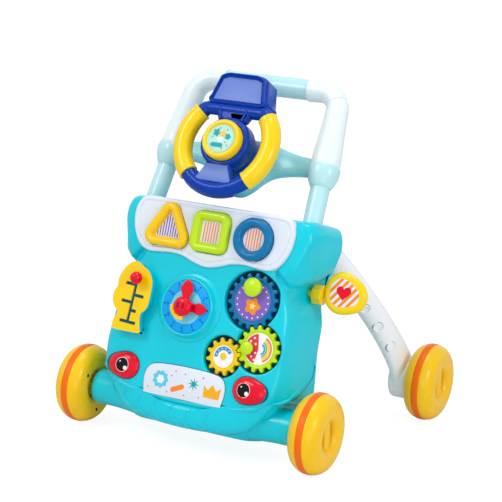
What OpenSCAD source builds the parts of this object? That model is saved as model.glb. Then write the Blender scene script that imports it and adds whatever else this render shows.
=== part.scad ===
// Baby walker with a steering wheel, push buttons, gears, a clock and a gear shifter.
// X runs across the walker, Y runs from its front to its back, Z is up; the floor is Z = 0.

/* [Wheels and axles] */
// Distance between the centre planes of the front wheels
track_front = 340; // [336:1:380]
// Distance between the centre planes of the rear wheels
track_rear = 430; // [420:1:460]
// Distance between the front and the rear axle
wheel_base = 245; // [235:1:265]
// Outer diameter of a wheel shell
wheel_d = 101; // [92:1:106]
// Width of a wheel
wheel_w = 42; // [36:1:42]
// Width of the tread band
tread_w = 9; // [6:0.5:12]
// How far the tread band stands proud of the shells
tread_rise = 0.7; // [0.3:0.1:1.5]
// Depth of the tread band in its groove
tread_depth = 4; // [2:0.5:6]
// Diameter of the opening in a wheel's hub
hub_open_d = 34; // [28:1:38]
// Diameter of the boss round the axle
hub_boss_d = 15; // [13:0.5:18]
// Diameter of the steel axles
axle_d = 8; // [6:0.5:9]
// Radial running clearance of a shaft in its bore
run_gap = 0.05; // [0.02:0.01:0.09]

/* [Body shell] */
// Backward lean of the body's face, in degrees
body_lean = 20; // [16:0.5:23]
// Height of the face's datum point above the floor
face_z = 99.9; // [97:0.5:103]
// Distance of the face's datum point in front of the front axle
face_y = 29; // [27:0.5:31]
// Height of the body's top above the datum, measured along the face
body_top = 219; // [216:1:224]
// Half width of the body at its cheeks
cheek_w = 130; // [126:1:133]
// Half width of the body at its waist
waist_w = 118; // [115:1:121]
// Half width of the body at its shoulders
shoulder_w = 138; // [135:1:141]
// How much wider the body is at the seam than at the front
seam_flare = 5; // [3:0.5:7]
// Depth of the front shell
front_depth = 82; // [80:1:86]
// Depth of the rear shell
rear_depth = 11; // [9:0.5:14]
// Wall of the shells
wall = 3.5; // [2.5:0.25:4.5]

/* [Buttons] */
// Distance between the middles of the push buttons
button_pitch = 61; // [60:0.5:63]
// Radius of the round button
circle_r = 28; // [26:0.5:29]
// Side of the square button
square_side = 54; // [50:0.5:56]
// Radius of the triangle button's corner circles, measured from its middle
triangle_reach = 22; // [19:0.5:23]
// Corner radius of the triangle button
triangle_corner = 14; // [12:0.5:15]
// Height of the button caps above the white panel
button_rise = 8; // [7:0.5:11]
// Travel of the push buttons
button_travel = 3; // [2:0.5:4]
// Gap round a push button
button_gap = 0.5; // [0.3:0.1:0.8]
// Thickness of the white button panel
panel_t = 5; // [4:0.5:6]

/* [Gears] */
// Gear module, pitch diameter over number of teeth
gear_module = 3.65; // [3.6:0.01:3.7]
// Teeth of the blue gear
blue_teeth = 18; // [18:1:18]
// Teeth of the lime gear
lime_teeth = 15; // [15:1:15]
// Teeth of the orange gear
orange_teeth = 12; // [12:1:12]
// Thickness of the gears
gear_t = 7; // [5:0.5:8]
// Diameter of the gear posts
post_d = 6; // [5:0.5:8]
// Depth of the gear wells below the face
well_depth = 13; // [12:0.5:16]

/* [Shifter] */
// Height of the shifter's boss
shift_boss_h = 12; // [10:0.5:14]
// Thickness of the shifter's plate
shift_plate_t = 3; // [2:0.5:4]
// Travel of the shift knob
shift_travel = 56; // [50:1:58]
// Width of the shift slot
slot_w = 4.6; // [4.2:0.2:5.4]
// Radius of the shift knob's ball
ball_r = 8; // [7:0.5:9]

/* [Clock] */
// Radius of the clock dial
dial_r = 33; // [31:0.5:34]
// Height of the clock's boss
clock_h = 10; // [8:0.5:12]
// Diameter of the pin that the hands turn on
clock_pin_d = 6; // [5:0.5:7]
// Thickness of one clock hand
hand_t = 2.6; // [2:0.2:3.2]

/* [Handle] */
// Backward lean of the handle, in degrees
handle_lean = 32; // [30:0.5:34]
// Half distance between the handle tubes where they leave the body
tube_u = 114.6; // [113:0.2:116]
// Diameter of the lower handle tubes
tube_d = 24.8; // [22:0.2:26]
// How deep the tubes sit in the body
tube_depth = 38; // [30:1:38]
// Height of the grip bar above the body, measured along the handle
grip_v = 171.5; // [166:0.5:180]
// Diameter of the grip bar
grip_d = 27; // [24:0.5:28]
// Diameter of the handle's elbows
elbow_d = 28.4; // [28:0.2:30]
// Bend radius of the handle's elbows
elbow_bend = 28; // [26:0.5:34]
// Diameter of the round feet of the handle's arms
arm_foot_d = 38; // [36:0.5:40]
// Height of the round feet's middles above the body
arm_foot_v = 78; // [75:0.5:82]

/* [Steering wheel] */
// Height of the steering wheel's middle above the body, along the handle
steer_v = 64.6; // [63:0.2:68]
// Distance of the steering wheel's middle in front of the handle
steer_w = 62.7; // [61:0.2:66]
// Radius of the steering ring's centre line
ring_r = 60.5; // [59:0.5:63]
// Diameter of the steering ring
ring_d = 20; // [19:0.2:21]
// Diameter of the yellow grips
steer_grip_d = 25; // [23.6:0.2:26]
// Radius of the steering hub
hub_r = 33.5; // [32:0.5:34.5]
// Radius of the horn button
horn_r = 26; // [24:0.5:27]
// Travel of the horn button
horn_travel = 2.5; // [1.5:0.5:3]
// Diameter of the steering shaft
shaft_d = 12; // [10:0.5:14]
// Width of the mirror box
box_w = 84; // [80:1:86]
// Height of the mirror box
box_h = 47; // [44:1:50]
// Depth of the mirror box
box_t = 39; // [37:1:41]

/* [Legs and paddle] */
// Thickness of a leg's foot
foot_t = 26; // [24:0.5:28]
// Radius of a leg's foot
foot_r = 28.5; // [26:0.5:32]
// Radius of a leg's tube
leg_r = 17; // [16:0.5:18]
// Width of the paddle
paddle_w = 58; // [54:1:60]
// Height of the paddle
paddle_h = 52; // [50:1:54]
// Thickness of the paddle
paddle_t = 12; // [10:0.5:14]
// Distance across the flats of the paddle's hub
nub_w = 24; // [22:0.5:26]

/* [Hidden] */
$fn = 48;

teal = [0.13, 0.82, 0.87];
deep_teal = [0.02, 0.55, 0.62];
mint = [0.72, 0.92, 0.92];
pearl = [0.86, 0.90, 0.94];
white = [0.95, 0.96, 0.98];
yellow = [1, 0.80, 0.16];
amber = [1, 0.75, 0.05];
orange = [1, 0.48, 0.14];
lime = [0.72, 0.90, 0.12];
blue = [0.10, 0.50, 0.72];
navy = [0.05, 0.22, 0.68];
lilac = [0.53, 0.61, 0.86];
sky = [0.10, 0.72, 1];
red = [0.94, 0.02, 0.22];
black = [0.08, 0.05, 0.05];
steel = [0.75, 0.77, 0.80];

seat = 0.05;                       // gap between pieces that are seated on each other
axle_z = (wheel_d + 2 * tread_rise) / 2;
front_y = -wheel_base / 2;
rear_y = wheel_base / 2;

// ---------- Frames ----------

// A point given across, up along and out of the body's face
function body_point(u, v, w) = [
    u,
    front_y - face_y + v * sin(body_lean) - w * cos(body_lean),
    face_z + v * cos(body_lean) + w * sin(body_lean)];

module on_body(u = 0, v = 0, w = 0)
    translate(body_point(u, v, w)) rotate([90 - body_lean, 0, 0]) children();

// The handle's frame starts in the body's top, between the two tubes
handle_w = -39.7;
module on_handle(u = 0, v = 0, w = 0)
    translate(body_point(0, body_top + 1.5, handle_w)) rotate([90 - handle_lean, 0, 0])
        translate([u, v, w]) children();

module on_steering(w = 0) on_handle(0, steer_v, steer_w + w) children();

module at_side(side) mirror([side < 0 ? 1 : 0, 0, 0]) children();

// ---------- General shapes ----------

// Point at fraction t of the smooth curve through four neighbours, between b and c
function spline_point(a, b, c, d, t) =
    ((2 * b) + (c - a) * t + (2 * a - 5 * b + 4 * c - d) * t * t
     + (3 * b - a - 3 * c + d) * t * t * t) / 2;

// Smooth closed curve through the points, with steps points in each stretch
function smooth_loop(points, steps) = let (n = len(points)) [
    for (i = [0:n - 1], s = [0:steps - 1])
        spline_point(points[(i + n - 1) % n], points[i], points[(i + 1) % n],
            points[(i + 2) % n], s / steps)];

// Right half of an outline followed by its mirror image; both ends lie on the middle line
function mirrored(half) = concat(half,
    [for (i = [len(half) - 2:-1:1]) [-half[i][0], half[i][1]]]);

// Solid through rings of equal length, each counterclockwise seen from the last one
module loft(rings) {
    n = len(rings[0]);
    last = (len(rings) - 1) * n;
    sides = [for (k = [0:len(rings) - 2], i = [0:n - 1]) let (j = (i + 1) % n) each [
        [k * n + i, (k + 1) * n + i, (k + 1) * n + j],
        [k * n + i, (k + 1) * n + j, k * n + j]]];
    ends = [[for (i = [0:n - 1]) i], [for (i = [n - 1:-1:0]) last + i]];
    polyhedron([for (r = rings) each r], concat(ends, sides), convexity = 8);
}

// Round bar from one point to another
module bar(a, b, r1, r2) {
    d = b - a;
    translate(a) rotate([0, acos(d[2] / norm(d)), atan2(d[1], d[0])])
        cylinder(h = norm(d), r1 = r1, r2 = r2);
}

// Plate with rounded corners, standing on z = 0
module rounded_plate(width, height, thick, corner)
    linear_extrude(thick) offset(corner) square([width - 2 * corner, height - 2 * corner], true);

// ---------- Body outline ----------

outline_mid = 95;
outline_reach = 140;
foot_sag = 3;

// Outline of the body; it is cut off at foot_v along a slightly hanging curve, and the higher
// the cut, the squarer its corners
function body_half(cheek, waist, shoulder, foot_v) = let (square_off = (foot_v - apron_v) / 4) [
    for (p = [
        [0, -34], [58, -32], [92, -27], [114 + square_off, -17], [cheek - 4 + square_off, 0],
        [cheek + square_off / 3, 24],
        [cheek - 2, 58], [waist + 6, 95], [waist + 0.5, 118], [waist, 133], [waist + 6, 154],
        [shoulder - 4, 176], [shoulder, 194], [shoulder - 2, 209],
        [shoulder - 10, body_top - 0.4], [shoulder - 34, body_top - 0.2], [0, body_top]])
        [p[0], max(p[1], foot_v + foot_sag * (p[0] / outline_reach) ^ 2)]];

// The outline drawn in by side_in at the sides and by end_in at the top and the foot
function body_ring(w, flare, foot_v, side_in, end_in) = [
    for (p = smooth_loop(mirrored(body_half(cheek_w + flare, waist_w + flare * 1.6,
            shoulder_w + flare * 0.3, foot_v)), 2))
        [p[0] * (1 - side_in / outline_reach),
         outline_mid + (p[1] - outline_mid) * (1 - end_in / (body_top - outline_mid)), w]];

// The apron covers the front of the base, and the underside behind it is higher
apron_v = -34;
apron_w = -20;
underside_v = -12;

module front_shell_outer() loft([
    body_ring(-front_depth, seam_flare, underside_v, 0, 0),
    body_ring(-50, seam_flare / 2, underside_v, 0, 0),
    body_ring(apron_w - 2, seam_flare / 8, underside_v, 0, 0),
    body_ring(apron_w, 0, apron_v, 0.4, 1),
    body_ring(-12, 0, apron_v, 0.6, 0),
    body_ring(-6, 0, apron_v, 1.4, 0.4),
    body_ring(-2, 0, apron_v, 3.4, 1.8),
    body_ring(0, 0, apron_v, 6.5, 4.5)]);

module front_shell_inner() loft([
    body_ring(-front_depth - 1, seam_flare, underside_v, wall, wall),
    body_ring(-50, seam_flare / 2, underside_v, wall, wall),
    body_ring(apron_w - 2 - wall, 0, underside_v, wall, wall),
    body_ring(-8, 0, underside_v, wall + 2, wall + 1),
    body_ring(-wall, 0, underside_v, wall + 5, wall + 4)]);

// Hole for the lower tube of one side, along the tube's own line
arm_slope = atan(10.2 / 158);
module along_tube(side)
    on_handle() at_side(side) translate([tube_u, 0, 0]) rotate([-90, 0, arm_slope]) children();

module tube_bores() for (side = [-1, 1]) along_tube(side)
    translate([0, 0, -tube_depth - 4]) cylinder(h = 90, d = tube_d + 2 * seat);

button_v = body_top - 35;
module button_shape(kind, grow = 0) {
    if (kind == 0) hull() for (a = [90, 210, 330])
        translate([triangle_reach * cos(a), triangle_reach * sin(a) - 4])
            circle(triangle_corner + grow, $fn = 32);
    if (kind == 1) offset(12 + grow) square(square_side - 24, true);
    if (kind == 2) circle(circle_r + grow);
}

// Middles of the gears: the second and third sit at one centre distance from the one before
blue_at = [70.5, 109.5];
lime_dir = -70.5;
orange_dir = -159;
blue_r = gear_module * blue_teeth / 2;
lime_r = gear_module * lime_teeth / 2;
orange_r = gear_module * orange_teeth / 2;
lime_at = blue_at + (blue_r + lime_r) * [cos(lime_dir), sin(lime_dir)];
orange_at = lime_at + (lime_r + orange_r) * [cos(orange_dir), sin(orange_dir)];
tooth_out = 2.2;
tooth_in = 2.9;
well_gap = 2.6;
function well_r(pitch_r) = pitch_r + tooth_out + well_gap;

module well_shape(grow = 0) {
    translate(blue_at) circle(well_r(blue_r) + grow);
    translate(lime_at) circle(well_r(lime_r) - 0.6 + grow);
    translate(orange_at) circle(well_r(orange_r) + grow);
}

// The paddle's shaft runs through the right side of the front shell
paddle_v = 132.5;
paddle_at_w = -57;
paddle_shaft_d = 8;
side_u = 126;

module front_shell() color(teal) difference() {
    on_body() difference() {
        front_shell_outer();
        front_shell_inner();
        for (k = [0:2]) translate([(k - 1) * button_pitch, button_v, -20])
            linear_extrude(30) button_shape(k, button_gap);
        translate([0, 0, -20]) linear_extrude(30) well_shape(0.3);
        translate([0, 0, -20]) linear_extrude(20 - wall) well_shape(tray_wall + seat);
        translate([100, paddle_v, paddle_at_w]) rotate([0, 90, 0])
            cylinder(h = 40, d = paddle_shaft_d + 2 * run_gap);
    }
    tube_bores();
}

back_w = -front_depth - rear_depth;

// A leg's straight top leaves the socket in the rear shell back and down
leg_u = 113.6;
leg_mouth_v = 190;
leg_fall = 39.2;
leg_lip = 0.6;
leg_dir = [0, cos(leg_fall), -sin(leg_fall)];
function leg_top(side) = body_point(side * leg_u, leg_mouth_v, back_w) - 12 * leg_dir;
socket_out = 16;
socket_wall = 5;
socket_floor = 4;

// Straight stretch of a leg's line behind the plane w = -front_depth - back
module leg_top_bar(side, r, back, out) intersection() {
    bar(leg_top(side) - 40 * leg_dir, leg_top(side) + out * leg_dir, r, r);
    on_body(0, body_top / 2, -front_depth - back - 100) translate([-200, -200, 0])
        cube([400, 400, 100]);
}

door_w = 96;
door_h = 66;
door_v = 62;
door_t = 2.4;

module rear_shell() color(teal) difference() {
    union() {
        on_body() loft([
            body_ring(back_w, seam_flare, underside_v, 12, 10),
            body_ring(back_w + rear_depth * 0.2, seam_flare, underside_v, 5, 4),
            body_ring(back_w + rear_depth * 0.6, seam_flare, underside_v, 1, 1),
            body_ring(-front_depth - seat, seam_flare, underside_v, 0, 0)]);
        for (side = [-1, 1]) leg_top_bar(side, leg_r + socket_wall, seat, socket_out);
    }
    on_body() difference() {
        loft([
            body_ring(back_w + wall, seam_flare, underside_v, 14, 14),
            body_ring(back_w + rear_depth * 0.6, seam_flare, underside_v, wall + 1, wall + 1),
            body_ring(-front_depth + 1, seam_flare, underside_v, wall, wall)]);
        for (side = [-1, 1]) translate([side * leg_u, leg_mouth_v + 3, back_w])
            cylinder(h = 30, r = leg_r + 12);
    }
    for (side = [-1, 1]) leg_top_bar(side, leg_r + leg_lip + seat, socket_floor, socket_out + 30);
    on_body(0, door_v, back_w - 1) rounded_plate(door_w, door_h, door_t + 1, 8);
}

module battery_door() color(teal) on_body(0, door_v, back_w + seat)
    rounded_plate(door_w - 0.6, door_h - 0.6, door_t - 2 * seat, 7.7);

// ---------- Base with the front axle ----------

horn_end = track_front / 2 - wheel_w / 2 - 2.5;
horn_tube_r = 22.4;

// Half outline of the bumper: its top follows the apron, its bottom hangs lowest in the middle
bumper_half = [
    [0, -63], [40, -61.5], [70, -56], [92, -46], [108, -34], [118, -20.2], [114, -18.8],
    [92, -28.1], [58, -32.5], [0, -34.5]];

bumper_fold = -40;

// The bumper's outline at depth w; below the fold its height is scaled by lift
function bumper_ring(w, narrow, lift) = [
    for (p = smooth_loop(mirrored(bumper_half), 2))
        [p[0] * narrow, p[1] < bumper_fold ? bumper_fold + (p[1] - bumper_fold) * lift : p[1], w]];

module bumper() loft([
    bumper_ring(-40, 1, 1),
    bumper_ring(-12, 1, 1),
    bumper_ring(-4, 0.97, 0.91),
    bumper_ring(0, 0.93, 0.6)]);

// Under the body the base is a box above and two rounded keels below
base_w = cheek_w - 26;
base_back = front_depth + 6;
base_top_h = 10;
keel_w = cheek_w - 46;
keel_r = 16;
module keel(v, w) translate([-keel_w, v, w]) rotate([0, 90, 0])
    cylinder(h = 2 * keel_w, r = keel_r, $fn = 32);

module base_housing() color(teal) difference() {
    union() {
        on_body() hull() {
            translate([-base_w, underside_v - base_top_h, -base_back])
                cube([2 * base_w, base_top_h - 0.3, base_back + apron_w - wall]);
            keel(-46, -70);
            keel(-42, -40);
        }
        on_body() intersection() {
            bumper();
            translate([-150, -80, apron_w - 3]) cube([300, 80, 40]);
        }
        translate([-horn_end, front_y, axle_z]) rotate([0, 90, 0])
            cylinder(h = 2 * horn_end, r = horn_tube_r);
    }
    translate([-horn_end - 1, front_y, axle_z]) rotate([0, 90, 0])
        cylinder(h = 2 * horn_end + 2, d = axle_d + 2 * seat);
}

// ---------- Pieces on the face ----------

// The white panel hangs from the body's top, and its lower edge dips in the middle
panel_half = [for (p = [
    [0, 79], [18, 75.5], [34, 70], [52, 68], [70, 69.5], [86, 70], [100, 63],
    [111, 45], [114.5, 25], [111, 10], [99, 1], [60, 0.3], [0, 0.3]])
    [p[0], body_top - p[1]]];

module button_panel() color(white) on_body(0, 0, seat) difference() {
    linear_extrude(panel_t - seat) polygon(smooth_loop(mirrored(panel_half), 3));
    for (k = [0:2]) translate([(k - 1) * button_pitch, button_v, -1])
        linear_extrude(panel_t + 2) button_shape(k, button_gap);
}

button_inner = -7;
button_floor = 6;

// Cap with a rim round a sunken window
module push_button(kind) on_body((kind - 1) * button_pitch, button_v) difference() {
    union() {
        translate([0, 0, button_inner]) linear_extrude(panel_t + button_rise - 3 - button_inner)
            button_shape(kind);
        translate([0, 0, panel_t + button_rise - 3]) linear_extrude(3) button_shape(kind, -2.5);
    }
    translate([0, 0, panel_t + button_rise - button_floor]) linear_extrude(button_floor + 1)
        button_shape(kind, -12);
}
module triangle_button() color(amber) push_button(0);
module square_button() color(lime) push_button(1);
module circle_button() color(blue) push_button(2);

// Middle of the shifter and its outline round it
shift_at = [-90, 86];
shift_outline = [
    [2, 44], [9.5, 39], [15, 37], [21.5, 29], [24.5, 19], [24.5, -1], [22.5, -10],
    [16.5, -17], [15.5, -22], [16.5, -30], [18.5, -39], [17, -41.5], [-16, -41.5],
    [-19.5, -39], [-18.5, -31], [-15.5, -24], [-15.5, -19], [-20.5, -15], [-24.5, -8],
    [-25.5, 0], [-24, 6], [-21.5, 11], [-21.5, 21], [-18, 31], [-11, 40], [-4, 44]];
slot_top = [3.8, 25.5];
slot_tilt = 3.5;
cross_w = 4;
foot_side = 10;
foot_h = 4;
foot_w = 6;
module on_shift(w = 0) on_body(shift_at[0], shift_at[1], w) children();
module on_slot() translate(slot_top) rotate(-slot_tilt) children();

module slot_shape(width, extra) on_slot() hull() {
    translate([0, extra]) circle(d = width);
    translate([0, -shift_travel - extra]) circle(d = width);
}
// Cross slots: distance below the slot's top, length, side
module cross_slots() on_slot() for (c = [[9, 15, -1], [22, 15, 1], [32, 16, -1], [42, 9, 1],
        [57, 12, -1], [57, 12, 1]])
    translate([c[2] * c[1] / 2, -c[0]]) square([c[1], cross_w], true);

module shifter_boss() color(teal) on_shift(seat) difference() {
    linear_extrude(shift_boss_h - seat) polygon(smooth_loop(shift_outline, 2));
    translate([0, 0, 2]) linear_extrude(shift_boss_h) slot_shape(foot_side + 0.8, 0.6);
    translate([0, 0, shift_boss_h - 4]) linear_extrude(5) cross_slots();
}

module shifter_plate() color(yellow) on_shift(shift_boss_h + seat) difference() {
    linear_extrude(shift_plate_t) polygon(smooth_loop(shift_outline, 2));
    translate([0, 0, -1]) linear_extrude(shift_plate_t + 2) {
        slot_shape(slot_w, 0.2);
        cross_slots();
    }
}

stem_d = 4;
stem_lean = 22;
ball_h = 12.5;
module shift_knob() color(red) on_shift() on_slot() union() {
    translate([0, 0, foot_w]) cylinder(h = foot_h, d = foot_side);
    translate([0, 0, foot_w + foot_h - 1])
        cylinder(h = shift_boss_h + shift_plate_t + 2 - foot_w - foot_h, d = stem_d);
    translate([0, 0, shift_boss_h + shift_plate_t]) rotate([0, stem_lean, 0]) {
        cylinder(h = ball_h, d = stem_d);
        translate([0, 0, ball_h]) sphere(ball_r);
    }
}

// ---------- Clock ----------

clock_at = [-12.5, 87];
dial_t = 1.4;
module on_clock(w = 0) on_body(clock_at[0], clock_at[1], w) children();
hour_w = clock_h + 1;
minute_w = hour_w + hand_t + 0.3;
nose_w = minute_w + hand_t + seat;
nose_r = 12.5;
nose_h = 9;
pin_top = nose_w + 4;

module clock_boss() color(teal) on_clock(seat) union() {
    rotate_extrude() polygon([
        [0, 0], [dial_r + 11.5, 0], [dial_r + 10, 2.5], [dial_r + 5.5, 3.5],
        [dial_r + 4, clock_h - 1], [dial_r + 2.4, clock_h + 0.6], [dial_r + 0.4, clock_h],
        [dial_r + 0.4, clock_h - dial_t], [0, clock_h - dial_t]]);
    cylinder(h = pin_top, d = clock_pin_d);
}

module clock_dial() color(sky) on_clock(clock_h - dial_t + 2 * seat) difference() {
    cylinder(h = dial_t, r = dial_r);
    translate([0, 0, -1]) cylinder(h = dial_t + 2, d = clock_pin_d + 2 * seat);
}

// Ear-shaped hand: round the pin, narrow at the neck, pointed at the tip
module hand_blade(length, width) linear_extrude(hand_t) {
    circle(10);
    polygon(smooth_loop([
        [0, 4], [length * 0.4, 5], [length * 0.62, width / 2], [length * 0.85, width * 0.32],
        [length, 0], [length * 0.85, -width * 0.32], [length * 0.62, -width / 2],
        [length * 0.4, -5], [0, -4]], 4));
}
module clock_hand(length, width, turn, w) on_clock(w) difference() {
    rotate(turn) hand_blade(length, width);
    translate([0, 0, -1]) cylinder(h = hand_t + 2, d = clock_pin_d + 2 * run_gap);
}
module hour_hand() color(red) clock_hand(31, 15, 0, hour_w);
module minute_hand() color(red) clock_hand(34, 17, 90, minute_w);

tab_r = 17.5;
module hand_tab() color(yellow) on_clock(nose_w) rotate(180) rotate_extrude(angle = 100)
    translate([nose_r + seat, 0]) square([tab_r - nose_r, 4]);
module nose_cap() color(red) on_clock(nose_w) difference() {
    union() {
        cylinder(h = nose_h - 4, r = nose_r);
        translate([0, 0, nose_h - 4]) cylinder(h = 4, r1 = nose_r, r2 = nose_r - 5);
    }
    translate([0, 0, -1]) cylinder(h = 6, d = clock_pin_d + 2 * run_gap);
}

// ---------- Gears ----------

tray_wall = 1;
gear_w = -gear_t - 3.5;

// Toothed outline; the first tooth points along X
module gear_shape(teeth, pitch_r) {
    step = 360 / teeth;
    root = pitch_r - tooth_in;
    tip = pitch_r + tooth_out;
    polygon([for (i = [0:teeth - 1]) each [
        for (c = [[root, -0.36], [pitch_r - 0.8, -0.24], [tip, -0.11], [tip, 0.11],
                [pitch_r - 0.8, 0.24], [root, 0.36]])
            c[0] * [cos((i + c[1]) * step), sin((i + c[1]) * step)]]]);
}

module gear(at, teeth, pitch_r, turn) on_body(at[0], at[1], gear_w) difference() {
    rotate(turn) linear_extrude(gear_t) gear_shape(teeth, pitch_r);
    translate([0, 0, -1]) cylinder(h = gear_t - 0.2, d = post_d + 2 * run_gap);
}

// Each gear is turned so that a tooth of the one before meets one of its gaps
blue_turn = lime_dir;
lime_turn = lime_dir + 180 + 180 / lime_teeth;
orange_turn = orange_dir + 180 + 180 / orange_teeth
    + (orange_dir - lime_turn) * lime_teeth / orange_teeth;
module blue_gear() color(blue) gear(blue_at, blue_teeth, blue_r, blue_turn);
module lime_gear() color(lime) gear(lime_at, lime_teeth, lime_r, lime_turn);
module orange_gear() color(amber) gear(orange_at, orange_teeth, orange_r, orange_turn);

module gear_tray() color(deep_teal) on_body(0, 0, -well_depth) {
    difference() {
        translate([0, 0, -2.5]) linear_extrude(well_depth + 2.5 - wall - seat)
            well_shape(tray_wall);
        linear_extrude(well_depth) well_shape();
    }
    for (c = [blue_at, lime_at, orange_at]) translate(c)
        cylinder(h = well_depth + gear_w + gear_t - 1.6, d = post_d);
    for (c = [blue_at, lime_at, orange_at]) translate(c)
        cylinder(h = well_depth + gear_w - 0.3, d = post_d + 6);
}

module gear_knob(at, offset_by, r, h) on_body(at[0], at[1], gear_w + gear_t + seat)
    translate(offset_by) union() {
        cylinder(h = h * 0.55, r = r * 0.8);
        translate([0, 0, h * 0.45]) cylinder(h = h * 0.3, r = r);
        translate([0, 0, h * 0.75]) cylinder(h = h * 0.25, r1 = r, r2 = r * 0.7);
    }
module blue_gear_knob() color(lime) gear_knob(blue_at, [0.5, 16.5], 12, 13);
module lime_gear_knob() color(lime) gear_knob(lime_at, [-14, -1.5], 8.5, 8);

// ---------- Eyes and label ----------

eye_u = 91;
module eye(side) color(red) on_body(side * eye_u, 0, seat) at_side(side) hull() {
    translate([-6, 0]) cylinder(h = 2, r = 17, $fn = 32);
    translate([10, 0]) cylinder(h = 2, r = 13, $fn = 32);
    translate([-5, 0]) cylinder(h = 7, r = 11, $fn = 32);
}
module left_eye() eye(-1);
module right_eye() eye(1);
module pupil(u) color(black) on_body(u, 0, 7 + 2 * seat) cylinder(h = 1, r = 8.5);
module left_pupil() pupil(-eye_u + 3);
module right_pupil() pupil(eye_u - 5);

label_half = [[0, -28], [50, -28], [56, -24], [58, -6], [52, 7], [36, 11.5], [0, 13]];
module label_plate() color(white) on_body(0, 0, seat)
    linear_extrude(1.5) polygon(smooth_loop(mirrored(label_half), 3));

// ---------- Handle ----------

function arm_u(v) = tube_u - v * tan(arm_slope);
bend_v = grip_v - elbow_bend;
seam_turn = 31;
elbow_to = 60;
arm_lip = 0.8;

module tube(side) color(mint) along_tube(side) translate([0, 0, -tube_depth])
    cylinder(h = tube_depth + arm_foot_v - 2, d = tube_d);
module left_tube() tube(-1);
module right_tube() tube(1);

// Part of the bend, turned by from to to degrees
module elbow_bend_part(from, to) translate([arm_u(bend_v) - elbow_bend, bend_v, 0])
    rotate(from) rotate_extrude(angle = to - from) translate([elbow_bend, 0]) circle(d = elbow_d);

// Round foot and tapering shaft of an arm, with grow added all round
module arm_body(side, grow) along_tube(side) rotate_extrude() polygon(concat(
    [for (a = [-90:10:0]) [
        (arm_foot_d / 2 + grow) * cos(a),
        arm_foot_v / cos(arm_slope) + (arm_foot_d / 2 + grow) * sin(a)]],
    [[elbow_d / 2 + arm_lip + grow, bend_v / cos(arm_slope)], [0, bend_v / cos(arm_slope)]]));

module arm(side) color(pearl) difference() {
    union() {
        arm_body(side, 0);
        on_handle() at_side(side) elbow_bend_part(-5, seam_turn);
    }
    along_tube(side) translate([0, 0, 20])
        cylinder(h = arm_foot_v - 22 + seat, d = tube_d + 2 * seat);
}
module left_arm() arm(-1);
module right_arm() arm(1);

module elbow(side) color(pearl) on_handle() at_side(side) {
    elbow_bend_part(seam_turn + 0.1, 94);
    translate([elbow_to, grip_v, 0]) rotate([0, 90, 0])
        cylinder(h = arm_u(bend_v) - elbow_bend - elbow_to, d = elbow_d + 2 * arm_lip);
}
module left_elbow() elbow(-1);
module right_elbow() elbow(1);

module grip_bar() color(mint) on_handle() translate([-elbow_to + seat, grip_v, 0])
    rotate([0, 90, 0]) cylinder(h = 2 * (elbow_to - seat), d = grip_d);

bar_half_t = 12;
crossbar_half = [
    [0, 16], [10, 18], [22, 27], [32, 38], [44, 47], [60, 52], [80, 55], [100, 56],
    [106, 60], [106, 76], [98, 80], [80, 81], [58, 85], [34, 91], [0, 94]];
sleeve_r = 20;
sleeve_from = 48;
sleeve_taper = 12;
sleeve_to = 72;

module handle_crossbar() color(mint) difference() {
    union() {
        on_handle(0, 0, -bar_half_t) linear_extrude(2 * bar_half_t)
            polygon(smooth_loop(mirrored(crossbar_half), 3));
        for (side = [-1, 1]) along_tube(side) translate([0, 0, sleeve_from]) {
            cylinder(h = sleeve_taper, r1 = sleeve_r - 5, r2 = sleeve_r);
            translate([0, 0, sleeve_taper])
                cylinder(h = sleeve_to - sleeve_from - sleeve_taper, r = sleeve_r);
        }
    }
    for (side = [-1, 1]) {
        arm_body(side, seat);
        along_tube(side) translate([0, 0, 20]) cylinder(h = 80, d = tube_d + 2 * seat);
    }
}

// ---------- Steering wheel ----------

hub_back = -15.5;
hub_front = 9;
horn_floor = 2;
column_r = 28;

module steering_column() color(navy) {
    on_handle(0, steer_v, bar_half_t + seat)
        cylinder(h = steer_w + hub_back - 0.3 - bar_half_t - seat, r = column_r);
    on_steering(hub_back - 1) cylinder(h = horn_floor - hub_back - 0.5, d = shaft_d);
}

module ring_part(from, to, r1, r2) rotate(from) rotate_extrude(angle = to - from)
    translate([ring_r, 0]) difference() {
        circle(r1);
        if (r2 > 0) circle(r2);
    }

box_v = 47.5;
grip_low_turn = -48;
grip_high_turn = 40;
ring_end_turn = 41;
chord_t = 17;
module steering_ring() color(navy) on_steering() difference() {
    union() {
        ring_part(180 - ring_end_turn, 360 + ring_end_turn, ring_d / 2, 0);
        translate([0, 0, -chord_t / 2]) linear_extrude(chord_t)
            polygon([[-48, 36], [48, 36], [51, box_v - seat], [-51, box_v - seat]]);
        translate([0, 0, hub_back]) cylinder(h = hub_front - hub_back, r = hub_r);
        translate([0, 0, -8]) linear_extrude(15) {
            polygon([[-12, -25], [12, -25], [23, -55], [-23, -55]]);
            polygon([[-17, 25], [17, 25], [24, 38], [-24, 38]]);
        }
    }
    translate([0, 0, hub_back - 1])
        cylinder(h = horn_floor - hub_back + 0.8, d = shaft_d + 2 * run_gap);
    translate([0, 0, horn_floor]) cylinder(h = 20, r = horn_r + 0.4);
}

module steering_grip(side) color(yellow) on_steering() at_side(side)
    ring_part(grip_low_turn, grip_high_turn, steer_grip_d / 2, ring_d / 2 + seat);
module left_steering_grip() steering_grip(-1);
module right_steering_grip() steering_grip(1);

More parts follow.
